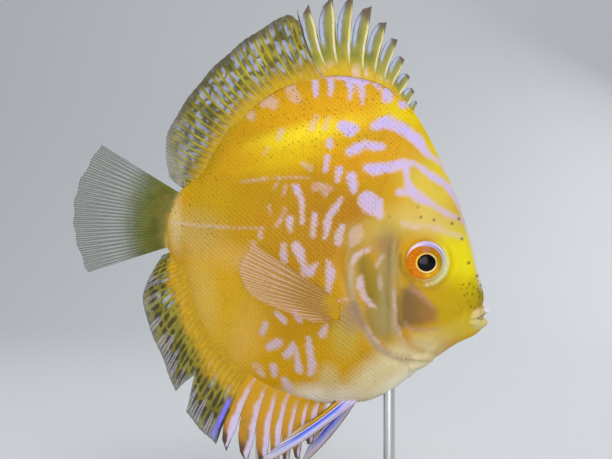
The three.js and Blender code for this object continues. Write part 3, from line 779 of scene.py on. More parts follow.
def fin_mesh(name, fin):
    mesh = pillow(name, *fin["grid"])
    flat = points_of(mesh)
    u, v, side = flat[:, 0], flat[:, 1], np.sign(np.round(flat[:, 2], 3))
    ray = u * fin["rays"]
    beyond = ray % 1
    if "teeth" in fin:
        height = 1 - fin["teeth"] * smooth(beyond, 0.8, 0.92) - 0.12 * beyond
        ridge = (bump(beyond - 0.08, 0.1) + bump(beyond - 1.08, 0.1)) * (1 - 0.45 * v)
    else:
        height = 1 + 0.003 * np.cos(2 * np.pi * ray) - 0.008 * np.sin(ray * 1.3)
        fork = 0.24 * smooth(v, 0.35, 0.95)
        ridge = bump(np.abs(ray - np.round(ray)) - fork, 0.13)
    height = height - fin.get("corner", 0) * (1 - smooth(u, 0, 0.08)) ** 2
    if "split" in fin:
        where, reach, depth = fin["split"]
        height = height - depth * np.clip(1 - np.abs(u - where) / reach, 0, 1) ** 0.8
    up = v * height
    narrow = 0.62 * smooth(up, 0.66, 1.0) if "teeth" in fin else 0
    laid = (ray + (0.45 - beyond) * narrow) / fin["rays"]
    foot, tip = Curve(fin["foot"], 400).at(laid), Curve(fin["tip"], 400).at(laid)
    run = tip - foot
    lean = (fin["bend"] * 4 * up * (1 - up))[:, None]
    flat_xz = foot + run * up[:, None] + np.stack([-run[:, 1], run[:, 0]], -1) * lean
    outer = np.minimum(1, up * 1.5)
    swell = bump(up, 0.15) * fin.get("swell", 1.0)
    thick = fin.get("root", FIN_ROOT) * (1 - outer) + FIN_EDGE * outer + 1.5 * swell
    full = np.maximum(np.clip(ridge, 0, 1), swell)
    half = side * thick / 2 * (WEB_SHARE + (1 - WEB_SHARE) * full)
    y = half + fin.get("wave", 0) * np.sin(u * 9 + v * 2) * v * v
    if "side" in fin:
        base, spread = fin["off"]
        y = half + fin["side"] * (base + spread * up)
    set_points(mesh, np.stack([flat_xz[:, 0], y, flat_xz[:, 1]], -1))
    face_out(mesh)
    set_looks(mesh, {"ray": ray, "up": up, "own": v, "ridge": np.clip(ridge, 0, 1)})
    corner = corners(mesh)
    sizes, starts = face_corners(mesh)
    face_side = np.repeat(np.add.reduceat(side[corner], starts) > 0, sizes)
    set_unwrap(mesh, (u[corner] * 0.96 + 0.02 + face_side) / 2, v[corner] * 0.96 + 0.02)
    return mesh


def fin_material(name, paint, looks):
    material, wire, where = new_material(name)
    p = SimpleNamespace(**{key: wire.attribute(key) for key in ("ray", "up", "own", "ridge")})
    p.looks = looks
    p.beyond = p.ray.rest()
    p.flow = wire.node("CombineXYZ", (p.ray * 0.5, p.up * 3.0, 0.0))
    p.grain = where.noise(700.0, 3.0)
    p.cloud, p.patch = where.noise(160.0), where.noise(120.0)
    colour, alpha = paint(p)
    finish_material(
        wire,
        Base_Color=colour.brighter(0.86 + p.grain * 0.28),
        Roughness=0.4 + p.grain * 0.2,
        Coat_Weight=0.12,
        Coat_Roughness=0.2,
        Specular_IOR_Level=0.3,
        Alpha=alpha,
        Normal=(p.grain * 0.4 + p.ridge).bumped(0.0001, 0.5),
    )
    return material


# Each paint gives a fin's colour and alpha from p: ray counts the rays, beyond is the share of
# the way to the next one, up runs from foot to tip, own does the same on each ray alone, ridge
# is 1 on a ray, and grain, cloud and patch are noises from fine to coarse.
def dashes(p, rows, skip, shift=0.0):
    """Wavy rows of slender dashes, one in each web between two rays."""
    line = p.ray.whole()
    drift = (p.flow.noise(1.3) - 0.5) * 2.4
    row = p.up * rows + drift + line.chance() * 0.22 + shift
    cell = p.up.node("CombineXYZ", (line, row.whole(), 0.0))
    chance = p.up.node("TexWhiteNoise", {0: cell}, noise_dimensions="3D")
    x = (p.beyond - 0.5) * 2.5
    y = (row.rest() - 0.5) * 2.2
    shape = (x * x + y * y + p.grain * 0.7).fade(1.5, 0.6)
    here = chance * 0.6 + p.flow.noise(0.9, 1.0) * 0.8 - 0.2
    return shape * here.fade(skip, skip + 0.3)


def paint_dorsal_spines(p):
    low = (p.up + (p.cloud - 0.5) * 0.2).fade(0.3, 0.08)
    ragged = p.beyond + (p.grain - 0.5) * 0.1
    spine = ragged.fade(0.2, 0.1)
    white = spine * p.cloud.fade(0.46, 0.56) * p.up.fade(0.15, 0.3) * p.up.fade(0.8, 0.5)
    stripe = ragged.fade(0.56, 0.66) * ragged.fade(0.86, 0.78) * p.up.fade(0.34, 0.5)
    colour = p.cloud.ramp((0.35, "#7C7A22"), (0.65, "#9E972E")).layered(
        ("#8A8C5E", p.up.fade(0.4, 0.75) * 0.5),
        ("#CCA604", low),
        ("#B8A816", ragged.fade(0.4, 0.26) * p.up.fade(0.08, 0.2) * 0.6),
        ("#E2D898", spine * p.up.fade(0.1, 0.28) * 0.9),
        ("#D9D2EA", white * 0.75),
        (p.looks.fin_blue, stripe * 0.85),
        (p.looks.lilac_pink, p.beyond.fade(0.2, 0.4) * p.cloud.fade(0.48, 0.56) * low * 0.5),
        ("#5C4232", (p.up + p.cloud * 0.24).fade(0.88, 1.04) * 0.9),
        ("#4E4636", ragged.fade(0.8, 0.9) * p.up.fade(0.4, 0.6) * 0.7),
    )
    return colour, 1 - (1 - spine) * (1 - stripe) * p.up.fade(0.25, 0.5) * 0.25


def paint_dorsal_rays(p):
    far = (p.ray * (1 / FINS["dorsal_fin_soft"]["rays"])).fade(0.5, 0.9)
    low = (p.up + (p.cloud - 0.5) * 0.4).fade(0.48, 0.06)
    clear = 1 - low
    lines = p.ridge.fade(0.4, 0.95) * (1 - p.up.fade(0.5, 0.9) * 0.5)
    edge = p.own.fade(0.84, 0.97)
    colour = p.cloud.ramp((0.36, "#5A560A"), (0.62, "#9A8C10")).layered(
        ("#7D7A44", far * p.up.fade(0.2, 0.7) * 0.8),
        ("#C29A04", low),
        ("#3E3C0A", dashes(p, 4.0, -0.1, 0.5) * (clear * 0.6 + 0.1)),
        (p.looks.fin_blue, dashes(p, 4.0, 0.24) * (1 - far * 0.4) * clear * 0.62),
        ("#C2B218", lines * (p.cloud.fade(0.38, 0.62) * 0.5 + 0.2)),
        ("#4A4020", edge * 0.7),
    )
    alpha = 1 - far * p.up.fade(0.2, 0.6) * (0.62 - p.ridge * 0.3) - edge * 0.25
    return colour, alpha.clamped()


def paint_anal_spines(p):
    own_width = p.ray.whole().chance()
    ragged = p.beyond + (p.cloud - 0.5) * 0.7 + (own_width - 0.5) * 0.16
    spine = ragged.fade(0.5, 0.26) * (p.up + p.cloud * 0.6).fade(0.3, 0.56)
    pale = p.up.ramp((0.1, p.looks.lilac_pink), (0.6, "#D6CCF2"))
    dark = p.up.fade(0.7, 0.86) * ragged.fade(0.34, 0.5) + p.up.fade(0.9, 0.98)
    colour = p.up.ramp((0.05, "#D09C06"), (0.7, "#BE820A")).layered(
        ("#97801E", p.cloud.fade(0.45, 0.6) * p.up.fade(0.35, 0.7) * 0.7),
        (pale, spine * 0.85),
        ("#3A2E30", dark.clamped() * 0.9),
    )
    return colour, 1.0


def paint_anal_rays(p):
    low = (p.up + (p.cloud - 0.5) * 0.25).fade(0.56, 0.3)
    dash = dashes(p, 3.0, 0.55) * p.up.fade(0.2, 0.4) * p.up.fade(0.8, 0.6)
    step = (p.ray + 0.5).whole().chance()
    streak = p.ridge.fade(0.3, 0.9) * (p.up - step * 0.25).fade(0.5, 0.62)
    colour = p.cloud.ramp((0.36, "#66600E"), (0.6, "#8E861C")).layered(
        ("#C69C06", low),
        ("#33290A", dashes(p, 5.0, 0.0, 0.5) * ((1 - low) * 0.75 + 0.15)),
        ("#A9B4C4", dash * 0.7),
        ("#ABAAD8", streak * step.fade(0.25, 0.5) * 0.75),
        ("#8078F0", (p.ray - 1.3).size().fade(0.7, 0.4) * p.up.fade(0.4, 0.5) * 0.9),
        ("#2C2630", (p.ray - 0.3).size().fade(0.6, 0.3) * p.up.fade(0.6, 0.75) * 0.9),
        ("#5C5A48", p.own.fade(0.93, 0.99) * 0.6),
    )
    return colour, 1 - p.own.fade(0.7, 1.0) * 0.45


def paint_tail(p):
    far = (p.up + (p.cloud - 0.5) * 0.16).fade(0.2, 0.62)
    colour = p.up.ramp((0.0, "#C6A850"), (0.07, "#86762C"), (0.24, "#76782C"), (0.6, "#6E7660"))
    colour = colour.mixed("#5E6418", p.cloud.fade(0.42, 0.6) * (1 - far) * 0.7)
    colour = colour.mixed("#474E3C", p.ridge * far * 0.5)
    return colour, (0.97 - far * 0.82 + p.ridge * far * 0.5).clamped()


def paint_pectoral(p):
    root = (p.up + (p.cloud - 0.5) * 0.1).fade(0.3, 0.04)
    between = (1 - p.ridge) * p.up.fade(0.16, 0.3) * p.up.fade(0.7, 0.4)
    colour = p.up.ramp((0.1, "#C89A1C"), (0.5, "#CDA468")).layered(
        ("#E0BCA8", p.ridge * (1 - root) * 0.8), ("#A87828", between * 0.5), ("#CFA404", root * 0.9)
    )
    return colour, (0.2 + p.ridge * 0.42 + root * 0.8).clamped()


def paint_pelvic(p):
    across = p.ray * 0.2 + (p.patch - 0.5) * 0.1
    colour = across.ramp(
        (0.0, "#221C22"), (0.08, "#B9A9A8"), (0.2, "#D8CCF0"), (0.32, "#7E9AF6"),
        (0.44, "#4F4CDC"), (0.5, "#F0ECF8"), (0.57, "#34281C"), (0.64, "#D8A80C"),
        (0.86, "#CE9608"), (0.95, "#3C3020"),
    )
    colour = colour.mixed("#D6C6E8", p.up.fade(0.2, 0.06) * 0.85)
    return colour.mixed("#D9D2C6", p.up.fade(0.66, 0.95) * 0.6), 1.0


# A kind of fin, its material's name and its paint.
PAINTS = {
    "dorsal_fin_spines": ("dorsal spines", paint_dorsal_spines),
    "dorsal_fin_soft": ("dorsal rays", paint_dorsal_rays),
    "anal_fin_spines": ("anal spines", paint_anal_spines),
    "anal_fin_soft": ("anal rays", paint_anal_rays),
    "tail_fin": ("tail", paint_tail),
    "pelvic_fin": ("pelvic", paint_pelvic),
    "pectoral_fin": ("pectoral", paint_pectoral),
}


# Skin and scales
SKIN_SPOKES = 200
SKIN_RINGS = 440
COAT_DEPTH = 0.16


def skin_mesh():
    bm = bmesh.new()
    bmesh.ops.create_uvsphere(bm, u_segments=SKIN_SPOKES, v_segments=SKIN_RINGS, radius=1.0)
    mesh = mesh_from(bm, "fish_skin")
    ball = points_of(mesh)
    row = np.arccos(np.clip(ball[:, 2], -1, 1)) / np.pi
    angle = np.arctan2(ball[:, 1], ball[:, 0]) % (2 * np.pi)
    pole = np.hypot(ball[:, 0], ball[:, 1]) < 1e-6
    angle[pole] = 0.0
    along = (1 - np.cos(np.pi * row)) / 2 * 0.35 + row * 0.65
    nudge = 1e-3
    inner = np.clip(along, 2 * nudge, 1 - 2 * nudge)
    lengthways = body_point(inner + nudge, angle) - body_point(inner - nudge, angle)
    turned = angle + 0.004
    round_it = body_point(inner, turned + nudge) - body_point(inner, turned - nudge)
    normal = np.cross(round_it, lengthways)
    normal /= np.maximum(np.linalg.norm(normal, axis=1), 1e-9)[:, None]
    base = body_point(along, angle)
    base[pole, 1] = 0.0
    outwards = 1 if np.mean(normal[:, 1] * base[:, 1]) > 0 else -1
    beside = smooth(np.abs(base[:, 1]), 0.15, 1.6)
    height = relief(base[:, 0], base[:, 2], beside) - COAT_DEPTH
    height[pole] = 0
    points = base + normal * (outwards * height)[:, None]
    set_points(mesh, points)
    face_out(mesh)
    set_looks(mesh, side_looks(points[:, 0], points[:, 2]))
    corner = corners(mesh)
    sizes, starts = face_corners(mesh)
    u = (angle / (2 * np.pi))[corner]
    widest = np.repeat(np.maximum.reduceat(u, starts), sizes)
    narrowest = np.repeat(np.minimum.reduceat(u, starts), sizes)
    u = np.where((widest - narrowest > 0.5) & (u < 0.5), u + 1, u)
    unwrap_body(mesh, u, along[corner])
    return mesh, along, angle


def unwrap_body(mesh, turn, along):
    """Lays the skin or its scales out by each corner's turn round the body and share along it."""
    set_unwrap(mesh, turn * 0.985 + 0.005, along * 0.98 + 0.01)


# The steps between scales along and up the side, the places of their columns, the heights that
# are searched for the side, the height each column is counted from, and the place beside the
# body that the search starts from.
SCALE_STEP = 0.98
SCALE_ROW = 1.72
SCALE_COLUMNS = np.arange(-48.0, 42.0, SCALE_STEP)
SEARCH_HEIGHTS = np.arange(-61.0, 56.0, 0.4)
SCALE_START = -2.0
OUTSIDE = -60
# The size of a scale on the map.
SCALE_PATCH = 0.003
RANDOM_SEED = 7
SCALES_IN_A_PIECE = 2500


def one_scale():
    """A scale of unit size, its root at the origin and its free edge towards +X."""
    bm = bmesh.new()
    bmesh.ops.create_grid(bm, x_segments=3, y_segments=4, size=1.0)
    extrude_up(bm, 1)
    mesh = mesh_from(bm, "one_scale")
    flat = points_of(mesh)
    faces = np.array([f.vertices[:] for f in mesh.polygons])
    bpy.data.meshes.remove(mesh)
    u, w, top = flat[:, 0], flat[:, 1], flat[:, 2] > 0.5
    length = (u + 1) / 2
    breadth = 0.78 + 0.3 * smooth(length, 0.0, 0.45)
    rounding = np.sqrt(1 - 0.62 * w * w)
    x = -0.55 + 1.75 * length * (1 - smooth(length, 0.3, 1.0) * (1 - rounding))
    y = w * breadth * (1 - 0.3 * smooth(length, 0.55, 1.0) * np.abs(w))
    z = 0.1 * length**1.4 - 0.05 * w * w - 0.02 + np.where(top, 0.05 * (1 - 0.3 * w * w), 0)
    return np.stack([x, y, z], -1), faces, length


def scale_places(skin, along, angle):
    """Where each scale sits on the right side: its place, its outward normal, its share of the
    body's length and its turn round the body."""
    points = points_of(skin) / MM
    points[:, 2] -= BODY_HEIGHT
    faces = [f.vertices[:] for f in skin.polygons]
    tree = BVHTree.FromPolygons([Vector(p) for p in points], faces)

    def cast(x, z):
        return tree.ray_cast(Vector((x, OUTSIDE, z)), Vector((0, 1, 0)))

    found = []
    for i, x in enumerate(SCALE_COLUMNS):
        hits = [(z, cast(x, z)[0]) for z in SEARCH_HEIGHTS]
        side = np.array([(z, hit.y) for z, hit in hits if hit is not None and hit.y < -0.35])
        if len(side) < 4:
            continue
        run = np.concatenate([[0], np.cumsum(np.hypot(*np.diff(side, axis=0).T))])
        run -= np.interp(SCALE_START, side[:, 0], run)
        shift = i % 2 / 2
        first, last = math.ceil(run[0] / SCALE_ROW - shift), math.floor(run[-1] / SCALE_ROW - shift)
        for j in range(first, last + 1):
            z = np.interp((j + shift) * SCALE_ROW, run, side[:, 0])
            hit, normal, face, _ = cast(x, z)
            if hit is not None and bare_face(hit.x, hit.z) <= 0:
                corner = list(faces[face])
                found.append((*hit, *normal, along[corner].mean(), angle[corner].mean()))
    return np.array(found)


def bare_face(x, z):
    """How far a place lies on the bare face and throat; negative where scales lie."""
    nape = min((x - 24.5 - 0.385 * z) * 0.93, z - 2)
    gills = in_front(np.array([x]), np.array([z]), GILL_MARGIN)[0] + 0.9
    throat = min(x - 31 - 0.55 * (z + 52), 2 - z)
    return max(nape, min(gills, 2 - z, z + 47.5), throat)


def laid_scales(places, shape, rng):
    """The points of a scale at each place, turned and sized for it."""
    n = len(places)
    root, normal = places[:, :3], places[:, 3:6]
    rear = normal * normal[:, :1] - (1, 0, 0)
    rear /= np.linalg.norm(rear, axis=1)[:, None]
    cross = np.cross(normal, rear)
    turn = rng.normal(0, 0.06, n)[:, None]
    across = cross * np.cos(turn) - rear * np.sin(turn)
    axes = np.stack([rear * np.cos(turn) + cross * np.sin(turn), across, normal], 1)
    size = rng.uniform(0.95, 1.05, n) * (1 - 0.3 * smooth(-root[:, 0], 36, 48))
    # smaller and flatter towards the bare face
    full = smooth(-np.array([bare_face(x, z) for x, _, z in root]), 0.0, 3.5)
    points = shape * (size * (0.5 + 0.5 * full))[:, None, None]
    points[..., 2] -= 0.1 * (1 - full)[:, None]
    return root[:, None] + points @ axes


def scale_pieces(skin, along, angle, material):
    shape, faces, length = one_scale()
    found = scale_places(skin, along, angle)
    rng = np.random.default_rng(RANDOM_SEED)
    for word, side in SIDES.items():
        for start in range(0, len(found), SCALES_IN_A_PIECE):
            places = found[start : start + SCALES_IN_A_PIECE]
            n = len(places)
            points = (laid_scales(places, shape, rng) * (1, -side, 1)).reshape(-1, 3)
            shift = np.arange(n)[:, None, None] * len(shape)
            quads = (faces + shift).reshape(-1, 4)[:, ::-side]
            name = f"scales_{word}_{start // SCALES_IN_A_PIECE + 1}"
            mesh = bpy.data.meshes.new(name)
            mesh.from_pydata(place(points).tolist(), [], quads.tolist())
            mesh.update()
            face_out(mesh)
            # a scale's colours lie between those of its root and those under each point
            read = (np.repeat(places[:, :3], len(shape), axis=0) + points) / 2
            set_looks(mesh, {**side_looks(read[:, 0], read[:, 2]), "tip": np.tile(length, n)})
            turn = places[:, 7:] / (2 * np.pi)
            turn = (turn if side < 0 else 1 - turn) + (shape[:, 0] - 0.3) / 1.8 * SCALE_PATCH
            share = places[:, 6:7] + shape[:, 1] / 2.1 * SCALE_PATCH
            corner = corners(mesh)
            unwrap_body(mesh, turn.ravel()[corner], share.ravel()[corner])
            add_piece(name, mesh, material, "skin")


# Eyes
def eye_material():
    material, wire, _ = new_material("eye")
    iris, pupil = wire.attribute("iris"), wire.attribute("pupil")
    streaks = wire.node("CombineXYZ", (wire.attribute("turn") * 5.0, iris * 1.6, 0.0))
    streak = streaks.noise(2.6, 3.0)
    inner = iris.fade(0.45, 0.6) * iris.fade(0.98, 0.9)
    colour = wire.attribute("hue", 0).layered(
        ("#F0A81E", streak.fade(0.52, 0.7) * inner * 0.5),
        ("#8A4606", streak.fade(0.48, 0.3) * inner * 0.5),
        (wire.attribute("ring", 0), (pupil - 1.1).size().fade(0.13, 0.03) * 0.9),
        ("#050406", pupil.fade(1.03, 0.96)),
    )
    finish_material(
        wire,
        Base_Color=colour,
        Roughness=0.2,
        Coat_Weight=0.14,
        Coat_Roughness=0.03,
        Specular_IOR_Level=0.08,
        Normal=streak.bumped(0.00002, 0.3),
    )
    return material


# Colours round the eye, from straight ahead by the top: the iris, its pale rim, and the ring
# round the pupil.
IRIS_COLOURS = [
    "#A88A08", "#B07410", "#A8641A", "#C26A08", "#D07008", "#D67A0A", "#D08208", "#E0A010",
]
RIM_COLOURS = [
    "#D8D8BE", "#CFC6EC", "#C4B4E8", "#F2DCE6", "#D8A868", "#E0B870", "#DCD4A4", "#BCC8A2",
]
RING_COLOURS = [
    "#D8C060", "#E8D890", "#C8A850", "#E8C860", "#F0D020", "#E8C870", "#FFF0B0", "#FFF0C0",
]


def round_colours(names, turn):
    """Colours that blend round a circle, for each turn of 0 to 1."""
    table = np.array([rgb(name) for name in [*names, names[0]]])
    stops = np.linspace(0, 1, len(table))
    return np.stack([np.interp(turn % 1, stops, table[:, i]) for i in range(3)], -1)


def eye_mesh(side):
    bm = bmesh.new()
    bmesh.ops.create_uvsphere(bm, u_segments=128, v_segments=96, radius=1.0)
    mesh = mesh_from(bm, "eye")
    ball = points_of(mesh)
    far = np.hypot(ball[:, 0], ball[:, 1])
    outer = ball[:, 2] > 0
    dent = 0.2 * bump(far - 0.9, 0.03) - 0.18 * (1 - smooth(far, 0.3, 0.62))
    depth = ball[:, 2] * EYE_HALF_DEPTH - np.where(outer, dent, 0)
    # the eye's own forward, up and outward directions
    out = np.array([math.sin(EYE_TURN), side * math.cos(EYE_TURN), 0])
    ahead = np.array([math.cos(EYE_TURN), -side * math.sin(EYE_TURN), 0])
    u, w = ball[:, 0] * EYE_RADIUS, ball[:, 1] * EYE_RADIUS
    centre = np.array([EYE_PLACE[0], side * EYE_OUT, EYE_PLACE[1]])
    set_points(mesh, centre + np.stack([u, w, depth], -1) @ np.stack([ahead, (0, 0, 1), out]))
    face_out(mesh)
    # both are 1 at the edge of the iris or the pupil, which are slightly oval and off the middle
    iris = np.where(outer, np.hypot((u + 0.7) / 6.2, (w + 0.3) / 5.8), 1.4)
    pupil = np.where(outer, np.hypot((u + 0.3) / 3.1, (w + 0.35) / 2.85), 3.0)
    turn = np.arctan2(w, u) / (2 * np.pi)
    hue = round_colours(RIM_COLOURS, turn)
    lay_over(hue, "#5E4C9C", bump(iris - 1.07, 0.035) * bump((turn + 0.38) % 1 - 0.5, 0.13))
    # painted shade: a dark band round the eye's edge, where it sits in its socket
    lay_over(hue, "#7A5C14", smooth(far, 0.955, 0.99) * 0.75)
    lay_over(hue, round_colours(IRIS_COLOURS, turn), 1 - smooth(iris, 0.96, 1.02))
    # painted highlight: a bright gold glint low on the iris
    lay_over(hue, "#F4C41C", bump(np.hypot(u - 0.4, (w + 4.5) * 1.7), 1.3) * 0.85)
    ring, turn = round_colours(RING_COLOURS, turn), np.abs(turn) * 2 * np.pi
    set_looks(mesh, {"iris": iris, "pupil": pupil, "hue": hue, "ring": ring, "turn": turn})
    return mesh


# Stand
def wood_material(stand):
    material, wire, where = new_material("dark wood")
    stretched = wire.node("Mapping", {"Vector": where, "Scale": (3.0, 26.0, 26.0)})
    warp = stretched.noise(6.0, 4.0, 0.8)
    rings = wire.node(
        "TexWave",
        {"Vector": stretched, "Scale": 5.0, "Distortion": 5.0, "Detail": 3.0, "Detail Scale": 1.2},
        output=1,
        bands_direction="Y",
    )
    pores = wire.node("Mapping", {"Vector": where, "Scale": (90.0, 1400.0, 1400.0)})
    pore = pores.noise(1.0).fade(0.56, 0.72)
    colour = (rings * 0.6 + warp * 0.4).ramp((0.2, stand.wood_dark), (0.8, stand.wood_light))
    finish_material(
        wire,
        Base_Color=colour.mixed("#150C07", pore * 0.6),
        Roughness=0.34 + warp * 0.16,
        Coat_Weight=0.35,
        Coat_Roughness=0.2,
        Normal=(rings * 0.3 - pore).bumped(0.00006, 0.4),
    )
    return material


def steel_material():
    material, wire, where = new_material("brushed steel")
    grain = wire.node("Mapping", {"Vector": where, "Scale": (2600.0, 2600.0, 60.0)}).noise(1.0, 3.0)
    finish_material(
        wire,
        Base_Color=(0.62, 0.62, 0.63, 1),
        Metallic=1.0,
        Roughness=0.2 + grain * 0.22,
        Normal=grain.bumped(0.00001, 0.3),
    )
    return material


BASE_SIZE = (118.0, 66.0, 8.0)
BASE_CORNER = 9.0
# Each rod's place forward and left, its radius and the height of its top.
RODS = {"stand_rod_front": (29.0, 0.0, 2.0, 57.0), "stand_rod_back": (-17.0, 4.8, 1.6, 70.0)}
ROD_FOOT = 5.0
COLLAR_MIDDLE = 9.1
COLLAR_DEPTH = 2.2
HARD_EDGE = math.radians(35)


def rise(edge):
    return abs(edge.verts[0].co.z - edge.verts[1].co.z)


def bevel(bm, edges, offset, segments):
    settings = {"profile": 0.5, "affect": "EDGES", "material": -1}
    bmesh.ops.bevel(bm, geom=edges, offset=offset, segments=segments, **settings)


def finish_stand(bm, name):
    mesh = mesh_from(bm, name)
    mesh.transform(Matrix.Scale(MM, 4))
    mesh.update()
    return mesh


def base_mesh(stand):
    bm = bmesh.new()
    bmesh.ops.create_cube(bm, size=1.0)
    bmesh.ops.scale(bm, vec=BASE_SIZE, verts=bm.verts)
    bmesh.ops.translate(bm, vec=(0, 0, BASE_SIZE[2] / 2), verts=bm.verts)
    bevel(bm, [e for e in bm.edges if rise(e) > 1], BASE_CORNER, 12)
    bevel(bm, [e for e in bm.edges if rise(e) < 0.01], stand.edge_round / MM, 5)
    return finish_stand(bm, "stand_base")


def rod_mesh(name, x, y, radius, top):
    """A rod and the collar at its foot."""
    bm = bmesh.new()
    made = bmesh.ops.create_circle(bm, cap_ends=True, segments=48, radius=radius)
    bmesh.ops.translate(bm, vec=(x, y, ROD_FOOT), verts=made["verts"])
    extrude_up(bm, top - ROD_FOOT)
    wide = {"radius1": radius + 2.6, "radius2": radius + 1.2, "depth": COLLAR_DEPTH}
    collar = bmesh.ops.create_cone(bm, cap_ends=True, segments=64, **wide)["verts"]
    bmesh.ops.translate(bm, vec=(x, y, COLLAR_MIDDLE), verts=collar)
    upper = {v for v in collar if v.co.z > COLLAR_MIDDLE}
    bevel(bm, [e for e in bm.edges if upper.issuperset(e.verts)], 0.5, 4)
    bmesh.ops.recalc_face_normals(bm, faces=bm.faces)
    return finish_stand(bm, name)


# Properties
class SkinLooks(bpy.types.PropertyGroup):
    lilac: bpy.props.FloatVectorProperty(
        name="Lilac",
        description="Colour of the markings on the sides",
        subtype="COLOR",
        size=3,
        default=rgb("#C9B6EC"),
    )
    lilac_pink: bpy.props.FloatVectorProperty(
        name="Pinkish lilac",
        description="The markings' second tone",
        subtype="COLOR",
        size=3,
        default=rgb("#D6B8B8"),
    )
    fin_blue: bpy.props.FloatVectorProperty(
        name="Fin blue",
        description="Colour of the pale dashes and stripes in the fins",
        subtype="COLOR",
        size=3,
        default=rgb("#A6B0DC"),
    )


class StandLooks(bpy.types.PropertyGroup):
    wood_dark: bpy.props.FloatVectorProperty(
        name="Dark wood",
        description="Colour of the dark grain of the base",
        subtype="COLOR",
        size=3,
        default=rgb("#2A170D"),
    )
    wood_light: bpy.props.FloatVectorProperty(
        name="Light wood",
        description="Colour of the light grain of the base",
        subtype="COLOR",
        size=3,
        default=rgb("#5E3820"),
    )
    edge_round: bpy.props.FloatProperty(
        name="Edge round",
        description="Radius of the base's top and bottom edges",
        subtype="DISTANCE",
        unit="LENGTH",
        default=0.0012,
    )


class StageLooks(bpy.types.PropertyGroup):
    camera_distance: bpy.props.FloatProperty(
        name="Camera distance",
        description="From the middle of the fish to the camera",
        subtype="DISTANCE",
        unit="LENGTH",
        default=0.38,
    )
    camera_turn: bpy.props.FloatProperty(
        name="Camera turn",
        description="How far the camera stands towards the head",
        subtype="ANGLE",
        unit="ROTATION",
        default=math.radians(6),
    )
    floor_colour: bpy.props.FloatVectorProperty(
        name="Floor",
        description="Colour of the floor and backdrop",
        subtype="COLOR",
        size=3,
        default=rgb("#D8DADC"),
    )


# Operators
class DISCUS_OT_skin(bpy.types.Operator):
    """Makes the skin and the scales over it"""

    bl_idname = "discus.skin"
    bl_label = "Skin and scales"

    def execute(self, context):
        looks = context.scene.discus_skin
        mesh, along, angle = skin_mesh()
        add_piece("fish_skin", mesh, skin_material(looks, False), "skin", *FLESH)
        scale_pieces(mesh, along, angle, skin_material(looks, True))
        return {"FINISHED"}


class DISCUS_OT_fins(bpy.types.Operator):
    """Makes the dorsal, anal, tail, pelvic and pectoral fins"""

    bl_idname = "discus.fins"
    bl_label = "Fins"

    def execute(self, context):
        looks = context.scene.discus_skin
        materials = {kind: fin_material(*made, looks) for kind, made in PAINTS.items()}
        for name, fin in FINS.items():
            kind = name.replace("_right", "").replace("_left", "")
            add_piece(f"{name}_web", fin_mesh(name, fin), materials[kind], "fin", name)
        return {"FINISHED"}


class DISCUS_OT_eyes(bpy.types.Operator):
    """Makes the two eyes"""

    bl_idname = "discus.eyes"
    bl_label = "Eyes"

    def execute(self, context):
        material = eye_material()
        for word, side in SIDES.items():
            add_piece(f"eyeball_{word}", eye_mesh(side), material, "eye", f"eye_{word}")
        return {"FINISHED"}


class DISCUS_OT_stand(bpy.types.Operator):
    """Makes the base and the two rods"""

    bl_idname = "discus.stand"
    bl_label = "Stand"

    def execute(self, context):
        stand = context.scene.discus_stand
        mesh, wood, steel = base_mesh(stand), wood_material(stand), steel_material()
        made = [add_piece("stand_base_wood", mesh, wood, "base_wood", "stand_base")]
        for name, sizes in RODS.items():
            mesh = rod_mesh(name, *sizes)
            made.append(add_piece(f"{name}_steel", mesh, steel, "rod_steel", name))
        for piece in made:
            piece.data.set_sharp_from_angle(angle=HARD_EDGE)
        return {"FINISHED"}


class DISCUS_OT_stage(bpy.types.Operator):
    """Makes the floor, the backdrop, the lights and the camera"""

    bl_idname = "discus.stage"
    bl_label = "Stage"

    def execute(self, context):
        stage = context.scene.discus_stage
        add_backdrop(stage)
        add_lights()
        add_camera(context.scene, stage)
        context.scene.view_settings.view_transform = "Standard"
        return {"FINISHED"}


# The backdrop's half width, its length, the front edge and length of its flat part, and the
# radius of its bend.
BACKDROP_HALF_WIDTH = 3.0
BACKDROP_LENGTH = 4.0
FLOOR_FRONT = -1.2
FLOOR_LENGTH = 1.9
BEND_RADIUS = 0.5
# A lamp's place, size and power.
LAMPS = {
    "key": ((0.35, -0.75, 0.95), 0.6, 5.0),
    "fill": ((-0.9, -0.6, 0.3), 0.8, 2.6),
    "low": ((0.1, -0.8, 0.03), 0.5, 4.2),
    "top": ((0.0, 0.1, 1.1), 0.7, 3.6),
    "rim": ((0.5, 0.9, 0.6), 0.5, 3.0),
}
MIDDLE = Vector((0, 0, BODY_HEIGHT * MM))
VIEW_WIDTH = 0.2142
SENSOR_MM = 36.0


def add_backdrop(stage):
    """A floor that curves up into a wall behind the object."""
    bm = bmesh.new()
    bmesh.ops.create_grid(bm, x_segments=2, y_segments=64, size=1.0)
    for v in bm.verts:
        run = (v.co.y + 1) / 2 * BACKDROP_LENGTH
        turn = min(max((run - FLOOR_LENGTH) / BEND_RADIUS, 0.0), math.pi / 2)
        y = FLOOR_FRONT + min(run, FLOOR_LENGTH) + BEND_RADIUS * math.sin(turn)
        wall = max(run - FLOOR_LENGTH - BEND_RADIUS * math.pi / 2, 0.0)
        v.co = (v.co.x * BACKDROP_HALF_WIDTH, y, BEND_RADIUS * (1 - math.cos(turn)) + wall)
    mesh = mesh_from(bm, "backdrop")
    material, wire, where = new_material("backdrop paper")
    shade = {0: stage.floor_colour[:], 3: 0.97 + where.noise(3.0) * 0.06}
    colour = wire.node("VectorMath", shade, operation="SCALE")
    finish_material(wire, Base_Color=colour, Roughness=0.8)
    mesh.materials.append(material)
    mesh.shade_smooth()
    backdrop = bpy.data.objects.new("backdrop", mesh)
    bpy.context.scene.collection.objects.link(backdrop)


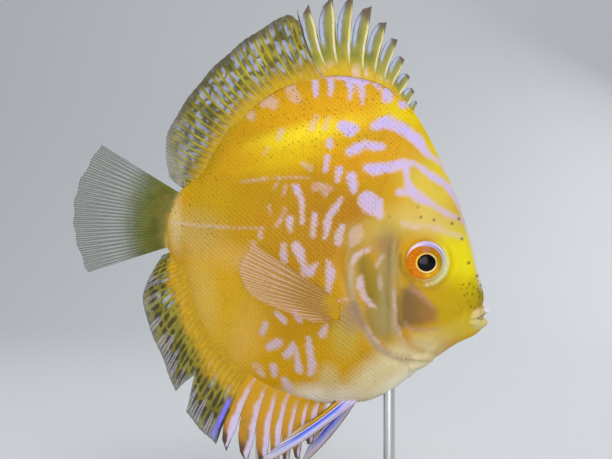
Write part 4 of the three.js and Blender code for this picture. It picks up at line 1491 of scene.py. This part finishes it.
def aimed(name, data, at, direction):
    """An object of the stage that looks in a direction."""
    made = bpy.data.objects.new(name, data)
    made.location = at
    made.rotation_mode = "QUATERNION"
    made.rotation_quaternion = direction.to_track_quat("-Z", "Y")
    bpy.context.scene.collection.objects.link(made)
    return made


def add_lights():
    for name, (at, size, power) in LAMPS.items():
        data = bpy.data.lights.new(name, "AREA")
        data.size = size
        data.energy = power
        aimed(name, data, at, MIDDLE - Vector(at))
    world = bpy.data.worlds.new("studio")
    world.use_nodes = True
    sky = world.node_tree.nodes["Background"]
    sky.inputs["Color"].default_value = (0.8, 0.86, 0.95, 1)
    sky.inputs["Strength"].default_value = 0.32
    bpy.context.scene.world = world


def add_camera(scene, stage):
    data = bpy.data.cameras.new("camera")
    data.sensor_width = SENSOR_MM
    data.lens = SENSOR_MM * stage.camera_distance / VIEW_WIDTH
    data.clip_start = 0.01
    back = Vector((math.sin(stage.camera_turn), -math.cos(stage.camera_turn), 0))
    scene.camera = aimed("camera", data, MIDDLE + back * stage.camera_distance, -back)


class DISCUS_PT_panel(bpy.types.Panel):
    bl_label = "Discus fish"
    bl_space_type = "VIEW_3D"
    bl_region_type = "UI"
    bl_category = "Discus"

    def draw(self, context):
        for group in ("discus_skin", "discus_stand", "discus_stage"):
            settings = getattr(context.scene, group)
            for name in settings.bl_rna.properties.keys():
                if name not in ("name", "rna_type"):
                    self.layout.prop(settings, name)
        for made in OPERATORS:
            self.layout.operator(made.bl_idname)


OPERATORS = (DISCUS_OT_skin, DISCUS_OT_fins, DISCUS_OT_eyes, DISCUS_OT_stand, DISCUS_OT_stage)
GROUPS = {"discus_skin": SkinLooks, "discus_stand": StandLooks, "discus_stage": StageLooks}


def register():
    for kind in (*GROUPS.values(), *OPERATORS, DISCUS_PT_panel):
        bpy.utils.register_class(kind)
    for name, kind in GROUPS.items():
        setattr(bpy.types.Scene, name, bpy.props.PointerProperty(type=kind))


def unregister():
    for name in GROUPS:
        delattr(bpy.types.Scene, name)
    for kind in (DISCUS_PT_panel, *reversed(OPERATORS), *GROUPS.values()):
        bpy.utils.unregister_class(kind)


def main():
    register()
    bpy.ops.discus.skin()
    bpy.ops.discus.fins()
    bpy.ops.discus.eyes()
    bpy.ops.discus.stand()
    bpy.ops.discus.stage()


if __name__ == "__main__":
    main()
